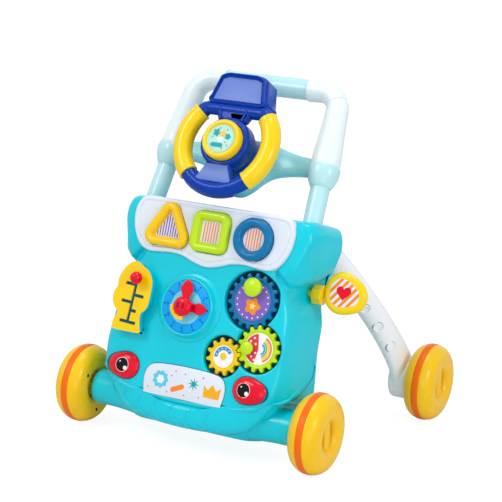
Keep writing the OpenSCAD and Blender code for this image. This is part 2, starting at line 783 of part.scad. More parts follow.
box_back = -30;
module box_shape(grow = 0) hull() for (side = [-1, 1]) {
    translate([side * (box_w / 2 - 22), box_v + box_h - 22]) circle(22 + grow, $fn = 32);
    translate([side * (box_w / 2 - 8), box_v + 8]) circle(8 + grow, $fn = 32);
}
module mirror_box() color(navy) on_steering(box_back) {
    linear_extrude(box_t - 2) box_shape();
    translate([0, 0, box_t - 2]) linear_extrude(2) box_shape(-2);
}
module mirror_panel() color(lilac) on_steering(box_back + box_t + seat)
    linear_extrude(1.2) intersection() {
        box_shape(-6);
        translate([-50, box_v + 8]) square([100, 40]);
    }

horn_h = 18;
module horn_button() color(yellow) on_steering(horn_floor + horn_travel + 0.4) {
    cylinder(h = horn_h - horn_floor - horn_travel - 5, r = horn_r);
    translate([0, 0, horn_h - horn_floor - horn_travel - 5])
        cylinder(h = 4, r1 = horn_r, r2 = horn_r - 5);
}

// ---------- Legs ----------

foot_out = track_rear / 2 - wheel_w / 2 - 1;
foot_mid = foot_out - foot_t / 2;

// Curve of a leg from its straight top to its foot
function leg_curve(side) = let (a = leg_top(side) + 12 * leg_dir) [
    a, a + 30 * leg_dir,
    [side * (foot_mid - 7), rear_y - 27, axle_z + 72],
    [side * foot_mid, rear_y, axle_z]];
function bezier(c, t) = (1 - t) ^ 3 * c[0] + 3 * (1 - t) ^ 2 * t * c[1]
    + 3 * (1 - t) * t ^ 2 * c[2] + t ^ 3 * c[3];
function bezier_dir(c, t) = let (d = (1 - t) ^ 2 * (c[1] - c[0]) + 2 * (1 - t) * t * (c[2] - c[1])
    + t ^ 2 * (c[3] - c[2])) d / norm(d);

leg_rings = 14;
leg_sides = 24;
// Oval across the curve at t: it keeps the tube's radius above and grows into the foot below
function leg_ring(side, t) = let (
    c = leg_curve(side), d = bezier_dir(c, t), across = cross([0, 1, 0], d),
    x = across / norm(across), y = cross(d, x), k = max(0, (t - 0.45) / 0.55),
    rx = leg_r + (foot_t / 2 - 0.8 - leg_r) * k, ry = leg_r + (foot_r - 1 - leg_r) * k ^ 1.3)
    [for (i = [0:leg_sides - 1]) let (a = 360 * i / leg_sides)
        bezier(c, t) + rx * cos(a) * x + ry * sin(a) * y];

module leg(side) color(pearl) difference() {
    union() {
        leg_top_bar(side, leg_r + leg_lip, socket_floor + seat, 15);
        loft([for (k = [0:leg_rings]) leg_ring(side, k / leg_rings)]);
        translate([side * foot_mid - foot_t / 2, rear_y, axle_z]) rotate([0, 90, 0])
            cylinder(h = foot_t, r = foot_r);
    }
    translate([side * foot_mid - foot_t, rear_y, axle_z]) rotate([0, 90, 0])
        cylinder(h = 2 * foot_t, d = axle_d + 2 * seat);
}
module left_leg() leg(-1);
module right_leg() leg(1);

// ---------- Wheels and axles ----------

boss_in = 15;
boss_out = 12;
cap_t = 3;
cap_d = 13;

module axle_cap(side, track) translate([side * (track / 2 + boss_out + 0.3), 0, 0])
    rotate([0, side * 90, 0]) cylinder(h = cap_t, d = cap_d);
module front_axle() color(steel) translate([0, front_y, axle_z]) {
    half = track_front / 2 + boss_out + 1;
    translate([-half, 0, 0]) rotate([0, 90, 0]) cylinder(h = 2 * half, d = axle_d);
    for (side = [-1, 1]) axle_cap(side, track_front);
}
module rear_axle(side) color(steel) translate([0, rear_y, axle_z]) at_side(side) {
    translate([foot_mid - foot_t / 2 - 2, 0, 0]) rotate([0, 90, 0])
        cylinder(h = track_rear / 2 + boss_out + 3 - foot_mid + foot_t / 2, d = axle_d);
    translate([foot_mid - foot_t / 2 - 3, 0, 0]) rotate([0, 90, 0])
        cylinder(h = 3 - seat, d = cap_d);
    axle_cap(1, track_rear);
}
module left_rear_axle() rear_axle(-1);
module right_rear_axle() rear_axle(1);

// Half of a wheel's section: radius and distance from the middle plane
function wheel_side(h, r) = [
    [hub_open_d / 2, h - 7], [hub_open_d / 2 + 5, h - 2], [hub_open_d / 2 + 12, h],
    [r - 13, h - 1], [r - 6, h - 5], [r - 2, h - 10], [r, tread_w / 2 + 3],
    [r, tread_w / 2], [r - tread_depth, tread_w / 2]];

module wheel_body() {
    h = wheel_w / 2;
    r = wheel_d / 2;
    half = wheel_side(h, r);
    difference() {
        union() {
            rotate_extrude($fn = 96) polygon(concat(half,
                [for (i = [len(half) - 1:-1:0]) [half[i][0], -half[i][1]]]));
            translate([-hub_open_d / 2 - 2, -6.5, -9]) cube([hub_open_d + 4, 13, 18]);
            translate([0, 0, -boss_in]) cylinder(h = boss_in + boss_out, d = hub_boss_d);
        }
        translate([0, 0, -30]) cylinder(h = 60, d = axle_d + 2 * run_gap);
    }
}
module at_wheel(side, track, y) translate([side * track / 2, y, axle_z])
    rotate([0, side * 90, 0]) children();
module wheel(side, track, y) color(yellow) at_wheel(side, track, y) wheel_body();
module tread(side, track, y) color(orange) at_wheel(side, track, y) rotate_extrude($fn = 96)
    translate([wheel_d / 2 - tread_depth + seat, -tread_w / 2 + seat])
        square([tread_depth + tread_rise - seat, tread_w - 2 * seat]);

module front_left_wheel() wheel(-1, track_front, front_y);
module front_left_tread() tread(-1, track_front, front_y);
module front_right_wheel() wheel(1, track_front, front_y);
module front_right_tread() tread(1, track_front, front_y);
module rear_left_wheel() wheel(-1, track_rear, rear_y);
module rear_left_tread() tread(-1, track_rear, rear_y);
module rear_right_wheel() wheel(1, track_rear, rear_y);
module rear_right_tread() tread(1, track_rear, rear_y);

// ---------- Side paddle ----------

hub_len = 14.4;
neck_len = 1.7;
neck_d = 14;
spigot_d = 7;
spigot_len = 16;
module on_paddle() on_body(side_u, paddle_v, paddle_at_w) rotate([0, 90, 0]) children();
module paddle_hub() color(yellow) on_paddle() {
    translate([0, 0, neck_len]) rotate(22.5)
        cylinder(h = hub_len - neck_len, d = nub_w / cos(22.5), $fn = 8);
    cylinder(h = hub_len, d = neck_d);
    translate([0, 0, -12]) cylinder(h = 13, d = paddle_shaft_d);
    cylinder(h = hub_len + spigot_len, d = spigot_d);
}

// Half widths of the egg: distance from its blunt end and height, as shares of its size
egg_shares = [
    [0, 0.02], [0.07, 0.3], [0.3, 0.5], [0.62, 0.45], [0.9, 0.23], [1, -0.04],
    [0.9, -0.34], [0.6, -0.49], [0.3, -0.5], [0.07, -0.31]];
egg_rise = 7;
module side_paddle() color(yellow) on_paddle() difference() {
    translate([0, egg_rise, hub_len + seat]) rotate([0, -90, 0])
        translate([0, 0, -paddle_t / 2]) linear_extrude(paddle_t)
            polygon(smooth_loop([for (p = egg_shares) [p[0] * paddle_w, p[1] * paddle_h]], 4));
    cylinder(h = hub_len + spigot_len + seat, d = spigot_d + 2 * seat);
}

// ---------- Selection ----------

front_shell();
rear_shell();
battery_door();
base_housing();
button_panel();
shifter_boss();
shifter_plate();
clock_boss();
clock_dial();
gear_tray();
label_plate();
left_eye();
right_eye();
left_pupil();
right_pupil();
left_tube();
right_tube();
handle_crossbar();
left_arm();
right_arm();
left_elbow();
right_elbow();
grip_bar();
steering_column();
left_leg();
right_leg();
front_axle();
left_rear_axle();
right_rear_axle();
steering_ring();
left_steering_grip();
right_steering_grip();
mirror_box();
mirror_panel();
horn_button();
triangle_button();
square_button();
circle_button();
shift_knob();
hour_hand();
minute_hand();
nose_cap();
hand_tab();
blue_gear();
lime_gear();
orange_gear();
blue_gear_knob();
lime_gear_knob();
paddle_hub();
side_paddle();
front_left_wheel();
front_left_tread();
front_right_wheel();
front_right_tread();
rear_left_wheel();
rear_left_tread();
rear_right_wheel();
rear_right_tread();
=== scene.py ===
"""Baby walker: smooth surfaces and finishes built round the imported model."""

import bmesh
import bpy
import numpy as np
from mathutils import Matrix, Vector
from mathutils.geometry import delaunay_2d_cdt


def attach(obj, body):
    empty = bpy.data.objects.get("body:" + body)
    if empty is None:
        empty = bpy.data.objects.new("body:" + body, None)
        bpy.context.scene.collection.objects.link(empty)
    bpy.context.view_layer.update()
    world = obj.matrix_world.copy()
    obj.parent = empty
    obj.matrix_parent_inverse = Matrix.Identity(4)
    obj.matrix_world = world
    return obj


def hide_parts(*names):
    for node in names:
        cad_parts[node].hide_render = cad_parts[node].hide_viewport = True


bl_info = {
    "name": "Baby walker",
    "version": (1, 0, 0),
    "blender": (4, 5, 0),
    "location": "3D View > Sidebar > Baby walker",
    "description": "Builds the walker's moulded pieces and finishes round the packed model",
    "category": "Add Mesh",
}

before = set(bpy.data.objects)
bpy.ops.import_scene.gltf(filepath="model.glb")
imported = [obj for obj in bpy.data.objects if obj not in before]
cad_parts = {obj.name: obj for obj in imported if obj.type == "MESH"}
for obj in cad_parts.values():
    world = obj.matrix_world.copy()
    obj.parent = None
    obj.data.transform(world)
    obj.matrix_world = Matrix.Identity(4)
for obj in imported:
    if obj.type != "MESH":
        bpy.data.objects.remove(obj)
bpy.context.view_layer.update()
MM = 0.001
# Radii, in millimetres, at which a turned profile's flat end and a dome's top close on the axis
AXIS, POLE = 0.01, 0.005

# ---------- Places: each maps millimetres in a local frame to millimetres in the walker's frame ----------


def turn_x(degrees):
    """Rotation about X: y and z mix by the cosine and sine of the angle."""
    c, s = np.cos(np.radians(degrees)), np.sin(np.radians(degrees))
    return np.array([[1, 0, 0], [0, c, -s], [0, s, c]])


def turn_y(degrees):
    """Rotation about Y: x and z mix by the cosine and sine of the angle."""
    c, s = np.cos(np.radians(degrees)), np.sin(np.radians(degrees))
    return np.array([[c, 0, s], [0, 1, 0], [-s, 0, c]])


def turn_z(degrees):
    """Rotation about Z: x and y mix by the cosine and sine of the angle."""
    c, s = np.cos(np.radians(degrees)), np.sin(np.radians(degrees))
    return np.array([[c, -s, 0], [s, c, 0], [0, 0, 1]])


class Place:
    """A turned and shifted frame: a local point p lies at turn times p, plus origin."""

    def __init__(self, turn=None, origin=(0, 0, 0)):
        self.turn = np.eye(3) if turn is None else turn
        self.origin = np.array(origin, float)

    def __call__(self, points):
        """The points turned and then shifted."""
        return np.asarray(points, float) @ self.turn.T + self.origin

    def at(self, x=0, y=0, z=0, turn=None):
        """The same frame moved by x, y, z along its own axes and then turned."""
        return Place(self.turn if turn is None else self.turn @ turn, self([x, y, z]))


# Frames on the face and the handle: x, called u below, runs right, y, called v, up, and z, called w, outwards
FACE = Place(turn_x(70), (0, -151.5, 99.9))
HANDLE = Place(turn_x(58), FACE([0, 220.5, -39.7]))
COLUMN_V = 64.6
STEERING = HANDLE.at(0, COLUMN_V, 62.7)
BUTTON_V, BUTTON_PITCH = 184, 61
CLOCK = FACE.at(-12.5, 87, 0)
SHIFT = FACE.at(-90, 86, 0)
PADDLE = FACE.at(126, 132.5, -57)

# Wheels: tread radius, also the axles' height, then each axle's place along the walker and its track
WHEEL_R = 51.2
FRONT_Y, REAR_Y = -122.5, 122.5
FRONT_TRACK, REAR_TRACK = 340, 430

# Back of the body and its battery door
BACK_W = -93
DOOR_V = 62
DOOR_SIZE, DOOR_CORNER = (95.4, 65.4), 7.7
DOOR_SCREWS = [(x, y) for x in (-40, 40) for y in (-25, 25)]

# Handle tubes: distance from the middle at their foot, lean inwards, the grip's height and the bend below it
TUBE_U = 114.6
ARM_SLOPE = np.arctan(10.2 / 158)
GRIP_V, BEND_V, BEND_R = 171.5, 143.5, 28

SIDES = ((-1, "left"), (1, "right"))


def arm_place(side):
    """Frame along one handle tube: Z runs up the tube, X towards its outer side."""
    lean = turn_z(side * np.degrees(ARM_SLOPE))
    return HANDLE.at(side * TUBE_U, 0, 0, lean @ turn_x(-90))


def button_place(kind):
    """Frame of a push button on the face: 0 is the triangle, 1 the square and 2 the circle."""
    return FACE.at((kind - 1) * BUTTON_PITCH, BUTTON_V)


# ---------- Loops and paths in a plane ----------


def polar(radius, angle):
    """Plane points at a radius and an angle in radians: x by the cosine, y by the sine."""
    return np.stack([radius * np.cos(angle), radius * np.sin(angle)], 1)


def full_turn(count):
    """Equal angle steps in radians once round, without the last."""
    return np.linspace(0, 2 * np.pi, count, endpoint=False)


def quarter(count, start=0, stop=90):
    """Equal angle steps given in degrees, as radians: a quarter turn unless told otherwise."""
    return np.radians(np.linspace(start, stop, count))


def cubic_through(a, b, c, d, steps):
    """Catmull-Rom stretches from each b to its c: a cubic in t through the four neighbours a, b, c and d."""
    t = (np.arange(steps) / steps)[None, :, None]
    a, b, c, d = (q[:, None, :] for q in (a, b, c, d))
    curve = (2 * b + (c - a) * t + (2 * a - 5 * b + 4 * c - d) * t**2 + (3 * b - a - 3 * c + d) * t**3) / 2
    return curve.reshape(-1, b.shape[-1])


def smooth_loop(points, steps=6):
    """Closed Catmull-Rom curve."""
    p = np.asarray(points, float)
    return cubic_through(np.roll(p, 1, 0), p, np.roll(p, -1, 0), np.roll(p, -2, 0), steps)


def smooth_path(points, steps=8):
    """Open Catmull-Rom curve; its ends are extended by their own reflection."""
    p = np.asarray(points, float)
    p = np.vstack([2 * p[0] - p[1], p, 2 * p[-1] - p[-2]])
    return np.vstack([cubic_through(p[:-3], p[1:-2], p[2:-1], p[3:], steps), p[-2]])


def mirrored(half):
    """A half outline followed by its mirror image in the line x = 0."""
    half = np.asarray(half, float)
    return np.vstack([half, half[-2:0:-1] * [-1, 1]])


def arc(centre, radius, start, stop, count):
    """Points at equal angle steps on a circle, angles in degrees."""
    return np.asarray(centre, float) + polar(radius, quarter(count, start, stop))


def disc(radius, count=64, centre=(0, 0)):
    """A closed circle."""
    return arc(centre, radius, 0, 360, count + 1)[:-1]


def rounded(centres, radii, count=9):
    """Outline of circles wrapped by a band: for each circle an arc between its neighbours' edge normals."""
    c = np.asarray(centres, float)
    r = np.broadcast_to(radii, len(c))
    out = []
    for i in range(len(c)):
        before, after = c[i] - c[i - 1], c[(i + 1) % len(c)] - c[i]
        a0 = np.degrees(np.arctan2(before[1], before[0])) - 90
        a1 = np.degrees(np.arctan2(after[1], after[0])) - 90
        out.append(arc(c[i], max(r[i], 0.01), a0, a0 + (a1 - a0) % 360, count))
    return np.vstack(out)


def box_loop(width, height, corner, count=9):
    """Rectangle with round corners, counterclockwise."""
    x, y = width / 2 - corner, height / 2 - corner
    return rounded([(x, -y), (x, y), (-x, y), (-x, -y)], corner, count)


def turned_loop(loop, degrees):
    """A plane loop turned about its origin."""
    return loop @ turn_z(degrees)[:2, :2].T


def inset(loop, distance):
    """Each point moved inwards along the normal of the chord between its neighbours."""
    if abs(distance) < 1e-9:
        return loop
    chord = np.roll(loop, -1, 0) - np.roll(loop, 1, 0)
    normal = np.stack([-chord[:, 1], chord[:, 0]], 1)
    return loop + distance * normal / np.maximum(np.linalg.norm(normal, axis=1, keepdims=True), 1e-9)


def inside(points, loop):
    """Even-odd rule: a point is inside if a ray to its right crosses the loop an odd number of times."""
    x, y = points[:, 0:1], points[:, 1:2]
    x0, y0 = loop[:, 0], loop[:, 1]
    x1, y1 = np.roll(x0, -1), np.roll(y0, -1)
    crosses = (y0 > y) != (y1 > y)
    at = x0 + (y - y0) * (x1 - x0) / np.where(y1 == y0, 1e-12, y1 - y0)
    return (crosses & (x < at)).sum(1) % 2 == 1


def star(points, outer, inner, turn=90):
    """Star outline: radii take turns between outer and inner."""
    a = np.radians(turn + np.arange(2 * points) * 180 / points)
    return polar(np.where(np.arange(2 * points) % 2 == 0, outer, inner), a)


def scallop(radius, lobes, depth, count=72):
    """Blob outline: the radius waves by depth, with the given number of lobes."""
    a = full_turn(count)
    return polar(radius + depth * np.cos(lobes * a), a)


def heart(size, count=60):
    """Heart outline: x is the cube of the sine, y a sum of four cosines."""
    t = full_turn(count)[::-1]
    x = 16 * np.sin(t) ** 3
    y = 13 * np.cos(t) - 5 * np.cos(2 * t) - 2 * np.cos(3 * t) - np.cos(4 * t)
    return np.stack([x, y], 1) * size / 32


# ---------- Patches: (points, faces) in a local frame ----------


def stack(rings):
    """Quads between successive closed rings of equal length, wound so that outer rings climbing upwards face
    outwards."""
    rings = np.asarray(rings, float)
    rows, n = rings.shape[:2]
    j = np.arange(n)
    k = (j + 1) % n
    base = (np.arange(rows - 1) * n)[:, None]
    quads = np.stack([base + j, base + k, base + n + k, base + n + j], -1).reshape(-1, 4)
    return rings.reshape(-1, 3), [quads]


def capped(rings):
    """A stack of rings with one face across each end."""
    cap = [np.arange(len(rings[0]))[None]]
    return [stack(rings), (rings[0], cap), (rings[-1], cap)]


def lifted(loop, w):
    """A plane loop raised to height w."""
    return np.column_stack([loop, np.full(len(loop), w, float)])


def filled(outer, holes=(), w=0.0, spacing=None, height=None):
    """Triangles that fill a loop round its holes; with spacing, grid points let a height shape it."""
    loops = [outer, *holes]
    points, edges, start = [], [], 0
    for loop in loops:
        n = len(loop)
        points.append(loop)
        edges += [(start + i, start + (i + 1) % n) for i in range(n)]
        start += n
    if spacing:
        lo, hi = outer.min(0), outer.max(0)
        gx, gy = np.meshgrid(np.arange(lo[0], hi[0], spacing), np.arange(lo[1], hi[1], spacing))
        grid = np.stack([gx.ravel(), gy.ravel()], 1)
        keep = inside(grid, inset(outer, spacing * 0.5))
        for hole in holes:
            keep &= ~inside(grid, inset(hole, -spacing * 0.5))
        points.append(grid[keep])
    flat = np.vstack(points)
    verts, _, tris, *_ = delaunay_2d_cdt([tuple(p) for p in flat], edges, [], 0, 1e-5)
    verts = np.array([tuple(v) for v in verts])
    tris = np.array([t for t in tris if len(t) == 3])
    middle = verts[tris].mean(1)
    keep = inside(middle, outer)
    for hole in holes:
        keep &= ~inside(middle, hole)
    z = np.full(len(verts), w) if height is None else w + height(verts)
    return np.column_stack([verts, z]), [tris[keep]]


def plate(loop, levels, holes=(), hole_levels=(), bottom=False):
    """Slab with shaped edges: the loop drawn in at each height, a filled top and walls down its holes."""
    rings = [lifted(inset(loop, d), w) for d, w in levels]
    top_w = levels[-1][1]
    cuts = [inset(h, -hole_levels[0][0]) for h in holes]
    patches = [stack(rings), filled(rings[-1][:, :2], cuts, top_w)]
    for h in holes:
        patches.append(stack([lifted(inset(h, -grow), w) for grow, w in hole_levels]))
    if bottom:
        patches.append(filled(rings[0][:, :2], (), levels[0][1]))
    return patches


def pillow(thick, radius, steps=5):
    """Levels of a slab with both edges rolled, about the middle plane."""
    t = quarter(2 * steps + 1, -90)
    half = thick / 2 - radius
    return [(radius * (1 - np.cos(a)), radius * np.sin(a) + (half if a >= 0 else -half)) for a in t]


def slab(loop, thick, radius, steps=5):
    """A closed slab with both edges rolled."""
    return plate(loop, pillow(thick, radius, steps), bottom=True)


def revolve(profile, count=72):
    """Profile of (radius, height) points carried round Z."""
    p = np.asarray(profile, float)
    a = full_turn(count)
    return [stack(np.stack([p[:, :1] * np.cos(a), p[:, :1] * np.sin(a), np.repeat(p[:, 1:], count, 1)], -1))]


def tube(path, radii, up=(0, 1, 0), count=40):
    """Oval section carried along a path: one axis is up crossed with the path, the other square to both."""
    p = np.asarray(path, float)
    d = np.gradient(p, axis=0)
    d /= np.linalg.norm(d, axis=1, keepdims=True)
    x = np.cross(np.broadcast_to(np.asarray(up, float), p.shape), d)
    x /= np.linalg.norm(x, axis=1, keepdims=True)
    y = np.cross(d, x)
    r = np.asarray(radii, float)
    r = np.repeat(np.broadcast_to(r, len(p))[:, None], 2, 1) if r.ndim < 2 else r
    a = full_turn(count)[None, :, None]
    rings = p[:, None] + r[:, None, :1] * np.cos(a) * x[:, None] + r[:, None, 1:] * np.sin(a) * y[:, None]
    return [stack(rings)]


def closed_tube(path, radii, roll=1.0, up=(0, 1, 0), count=40):
    """A tube whose ends roll over by a small quarter circle and close."""
    p = np.asarray(path, float)
    r = np.broadcast_to(np.asarray(radii, float), len(p))
    first = (p[0] - p[1]) / np.linalg.norm(p[0] - p[1])
    last = (p[-1] - p[-2]) / np.linalg.norm(p[-1] - p[-2])
    t = np.radians([0, 30, 60, 90])
    out = roll * np.sin(t)[:, None]
    fall = roll * (1 - np.cos(t))
    head, tail = p[0] + out[::-1] * first - roll * first, p[-1] + out * last - roll * last
    path = np.vstack([head[:1], head, p[1:-1], tail, tail[-1:]])
    size = np.concatenate([[0.02], r[0] - fall[::-1], r[1:-1], r[-1] - fall, [0.02]])
    path[0] += first * 1e-3
    path[-1] += last * 1e-3
    return tube(path, size, up, count)


def dome_rows(radius, base, height, steps):
    """Profile of a round dome: its radius falls by an angle's cosine while its height grows by the sine."""
    rows = [(radius * np.cos(a), base + height * np.sin(a)) for a in quarter(steps)]
    return rows[:-1] + [(POLE, rows[-1][1])]


def placed(patches, place):
    """The patches moved from a local frame."""
    return [(place(v), f) for v, f in patches]


def print_shape(loop, w, thick=0.18):
    """A thin flat shape standing on height w, for a printed mark."""
    n = len(loop)
    points, faces = stack([lifted(loop, w - 0.3), lifted(loop, w + thick)])
    return points, [*faces, np.arange(n, 2 * n)[None]]


def piece(name, patches, finish, body, nodes=(), sharp=32, weld=True):
    """One mesh object from patches in millimetres: welded, faces outwards, smooth up to the sharp angle."""
    points, faces, start = [], [], 0
    for v, groups in patches:
        points.append(v)
        for g in groups:
            faces += (np.asarray(g) + start).tolist()
        start += len(v)
    mesh = bpy.data.meshes.new(name)
    mesh.from_pydata((np.vstack(points) * MM).tolist(), [], faces)
    bm = bmesh.new()
    bm.from_mesh(mesh)
    if weld:
        bmesh.ops.remove_doubles(bm, verts=bm.verts, dist=2e-6)
        bmesh.ops.dissolve_degenerate(bm, edges=bm.edges, dist=1e-7)
    bmesh.ops.recalc_face_normals(bm, faces=bm.faces)
    bm.to_mesh(mesh)
    bm.free()
    mesh.shade_smooth()
    mesh.set_sharp_from_angle(angle=np.radians(sharp))
    obj = bpy.data.objects.new(name, mesh)
    bpy.context.scene.collection.objects.link(obj)
    mesh.materials.append(finish)
    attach(obj, body)
    if nodes:
        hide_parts(*nodes)
    return obj


# ---------- Finishes ----------


def linear(colour):
    """Screen colour, 0 to 255, to the linear values that a shader takes."""
    c = np.asarray(colour, float) / 255
    return tuple(np.where(c <= 0.04045, c / 12.92, ((c + 0.055) / 1.055) ** 2.4)) + (1.0,)


def plastic(name, colour, gloss=0.3, grain=0.03, tone=0.05, coat=0.0):
    """Moulded plastic: slow colour drift, uneven gloss and a faint moulded grain, on Object coordinates."""
    found = bpy.data.materials.get("moulded_" + name)
    if found:
        return found
    material = bpy.data.materials.new("moulded_" + name)
    material.use_nodes = True
    nodes, links = material.node_tree.nodes, material.node_tree.links
    shader = nodes["Principled BSDF"]
    where = nodes.new("ShaderNodeTexCoord").outputs["Object"]

    def noise(scale, detail):
        """Noise of a scale on the piece's own coordinates."""
        node = nodes.new("ShaderNodeTexNoise")
        node.inputs["Scale"].default_value = scale
        node.inputs["Detail"].default_value = detail
        links.new(where, node.inputs["Vector"])
        return node.outputs["Fac"]

    drift = nodes.new("ShaderNodeMix")
    drift.data_type = "RGBA"
    base = np.array(linear(colour))
    dark, light = base * (1 - tone), np.minimum(base * (1 + tone), 1)
    drift.inputs["A"].default_value = (*dark[:3], 1)
    drift.inputs["B"].default_value = (*light[:3], 1)
    links.new(noise(9, 2), drift.inputs["Factor"])
    links.new(drift.outputs["Result"], shader.inputs["Base Color"])
    spread = nodes.new("ShaderNodeMapRange")
    spread.inputs["To Min"].default_value = gloss * 0.85
    spread.inputs["To Max"].default_value = gloss * 1.15
    links.new(noise(60, 3), spread.inputs["Value"])
    links.new(spread.outputs["Result"], shader.inputs["Roughness"])
    bump = nodes.new("ShaderNodeBump")
    bump.inputs["Strength"].default_value = grain
    bump.inputs["Distance"].default_value = 0.0004
    links.new(noise(900, 2), bump.inputs["Height"])
    links.new(bump.outputs["Normal"], shader.inputs["Normal"])
    shader.inputs["Specular IOR Level"].default_value = 0.12 + 0.3 * float(base[:3] @ (0.21, 0.72, 0.07))
    if coat:
        shader.inputs["Coat Weight"].default_value = coat
        shader.inputs["Coat Roughness"].default_value = 0.05
    return material


def ink(name, colour):
    """Printed ink: even colour with the faint mottle of a print, on Object coordinates."""
    return plastic("ink_" + name, colour, gloss=0.42, grain=0.01, tone=0.04)


def metal(name, colour, gloss):
    """Steel: the plastic's colour drift, uneven gloss and grain, made metallic."""
    material = plastic(name, colour, gloss, 0.05, 0.03)
    material.node_tree.nodes["Principled BSDF"].inputs["Metallic"].default_value = 1.0
    return material


def finish(key):
    """A plastic finish by its name, in the colour held by the scene's settings."""
    colours = bpy.context.scene.walker_colours
    spec = FINISHES[key]
    return plastic(key, [255 * c for c in getattr(colours, key)], *spec[1:])


# Finish: colour, gloss, grain, tone, coat
FINISHES = {
    "teal_shell": ((0, 208, 226), 0.26, 0.01, 0.04, 0.1),
    # Dark teal that paints shade: the gear wells, the shifter's slot and foot, the lines under the bead and
    # round set-in pieces
    "deep_teal": ((0, 96, 120), 0.42, 0.05, 0.06, 0.0),
    # Darker copy of the handle's pale mint: painted shade for the crossbar
    "handle_mint": ((150, 220, 226), 0.26, 0.02, 0.03, 0.1),
    "pale_mint": ((190, 234, 240), 0.26, 0.02, 0.03, 0.1),
    "pearl_white": ((236, 249, 252), 0.28, 0.02, 0.03, 0.1),
    # Brighter copy of the pearl white: painted light that makes up for the less light that reaches the legs
    "leg_white": ((246, 250, 255), 0.3, 0.02, 0.02, 0.08),
    # Grey of the fine rings round the leg covers: painted shade
    "shade_grey": ((150, 172, 186), 0.5, 0.02, 0.03, 0.0),
    "white_panel": ((228, 236, 246), 0.32, 0.03, 0.03, 0.1),
    "navy": ((0, 60, 168), 0.26, 0.03, 0.06, 0.06),
    "lilac": ((106, 132, 206), 0.34, 0.03, 0.04, 0.0),
    "yellow": ((255, 212, 0), 0.26, 0.03, 0.04, 0.1),
    "wheel_yellow": ((255, 200, 0), 0.28, 0.03, 0.04, 0.08),
    "tread_orange": ((255, 110, 10), 0.4, 0.08, 0.05, 0.0),
    "amber": ((255, 204, 0), 0.24, 0.02, 0.04, 0.12),
    "lime": ((196, 234, 10), 0.24, 0.02, 0.04, 0.12),
    "blue": ((0, 116, 172), 0.24, 0.02, 0.05, 0.14),
    "red": ((234, 0, 40), 0.18, 0.01, 0.05, 0.16),
    "black": ((10, 4, 6), 0.2, 0.01, 0.1, 0.15),
    "dial_blue": ((0, 170, 250), 0.36, 0.02, 0.04, 0.0),
}


def colour_property(key):
    """A colour setting with the finish's own default."""
    label = key.replace("_", " ").capitalize()
    return bpy.props.FloatVectorProperty(
        name=label,
        description="Colour of the " + label.lower() + " pieces",
        subtype="COLOR",
        size=3,
        min=0,
        max=1,
        default=[c / 255 for c in FINISHES[key][0]],
    )


# ---------- Body ----------

# Heights of the body's middle, top, apron and underside on the face's axes, and its widest reach sideways
OUTLINE_MID, OUTLINE_REACH, BODY_TOP = 95, 140, 219
APRON_V, UNDERSIDE_V = -34, -12
# The sides open by FLARE over the SEAM_DEPTH from the face to the seam between the shells
FLARE, SEAM_DEPTH = 5, 82
# Wells of the blue, the lime and the orange gear
WELL_RADII = (37.65, 31.58, 26.7)


def flare(w):
    """How much wider the body's side is at depth w than at the face."""
    return -w * FLARE / SEAM_DEPTH


def body_ring(w, flare, foot_v, side_in, end_in, steps=6):
    """The body's outline at depth w: widened by flare, cut at foot_v, and scaled in by side_in and end_in."""
    cheek, waist, shoulder = 130 + flare, 118 + flare * 1.6, 138 + flare * 0.3
    square = (foot_v - APRON_V) / 4
    half = np.array([
        [0, APRON_V], [58, -32], [92, -27], [114 + square, -17], [cheek - 4 + square, 0],
        [cheek + square / 3, 24], [cheek - 2, 58], [waist + 6, 95], [waist + 0.5, 118],
        [waist, 133], [waist + 6, 154], [shoulder - 4, 176], [shoulder, 194],
        [shoulder - 2, 209], [shoulder - 10, BODY_TOP - 0.4], [shoulder - 34, BODY_TOP - 0.2],
        [0, BODY_TOP]])
    half[:, 1] = np.maximum(half[:, 1], foot_v + 3 * (half[:, 0] / OUTLINE_REACH) ** 2)
    p = smooth_loop(mirrored(half), steps)
    x = p[:, 0] * (1 - side_in / OUTLINE_REACH)
    y = OUTLINE_MID + (p[:, 1] - OUTLINE_MID) * (1 - end_in / (BODY_TOP - OUTLINE_MID))
    return np.stack([x, y, np.full(len(p), w)], 1)


def ease(x, low, high):
    """Smooth step from 0 at low to 1 at high: 3t squared minus 2t cubed."""
    t = np.clip((x - low) / (high - low), 0, 1)
    return t * t * (3 - 2 * t)


def crease(p):
    """Depth of the fold under each shoulder lobe, less the lobe's swell: bells across a line that falls from
    the panel's corner to the face's edge and climbs again along the side."""
    x, v = np.abs(p[:, 0]), p[:, 1]
    behind = -p[:, 2] if p.shape[1] > 2 else np.zeros(len(p))
    line = 132 + 26 * np.clip((116 - x) / 28, 0, 1) ** 1.3 + 26 * np.clip((behind - 14) / 68, 0, 1) ** 2
    side = np.maximum(ease(x, 84, 100), ease(behind, 4, 12))
    d = v - line
    valley = 9.0 * np.exp(-((d / np.where(d > 0, 4.2, 13)) ** 2))
    lobe = np.maximum(ease(x, 108, 124), ease(behind, 4, 12))
    swell = 7.0 * np.exp(-(((d - 17) / np.where(d > 17, 16, 9)) ** 2)) * lobe
    return valley * side - swell


def edge_inset(p):
    """How far the face's rolled edge may draw in: up to 11 mm, a little more on the shoulders, and less where
    a gear well lies near the outline."""
    x, v = p[:, 0], p[:, 1]
    reach = np.full(len(p), -200.0)
    for at, r in ((BLUE_AT, WELL_RADII[0]), (LIME_AT, WELL_RADII[1])):
        half = np.sqrt(np.clip((r + 3.0) ** 2 - (v - at[1]) ** 2, 0, None))
        reach = np.maximum(reach, np.where(half > 0, at[0] + half, -200))
    most = 11 + 3 * ease(v, 134, 165)
    room = np.clip(np.where(x > 60, x - reach, most), 3.0, most)
    kernel = np.array([1, 2, 3, 4, 3, 2, 1]) / 16
    soft = np.convolve(np.concatenate([room[-3:], room, room[:3]]), kernel, "valid")
    return np.minimum(room, soft)


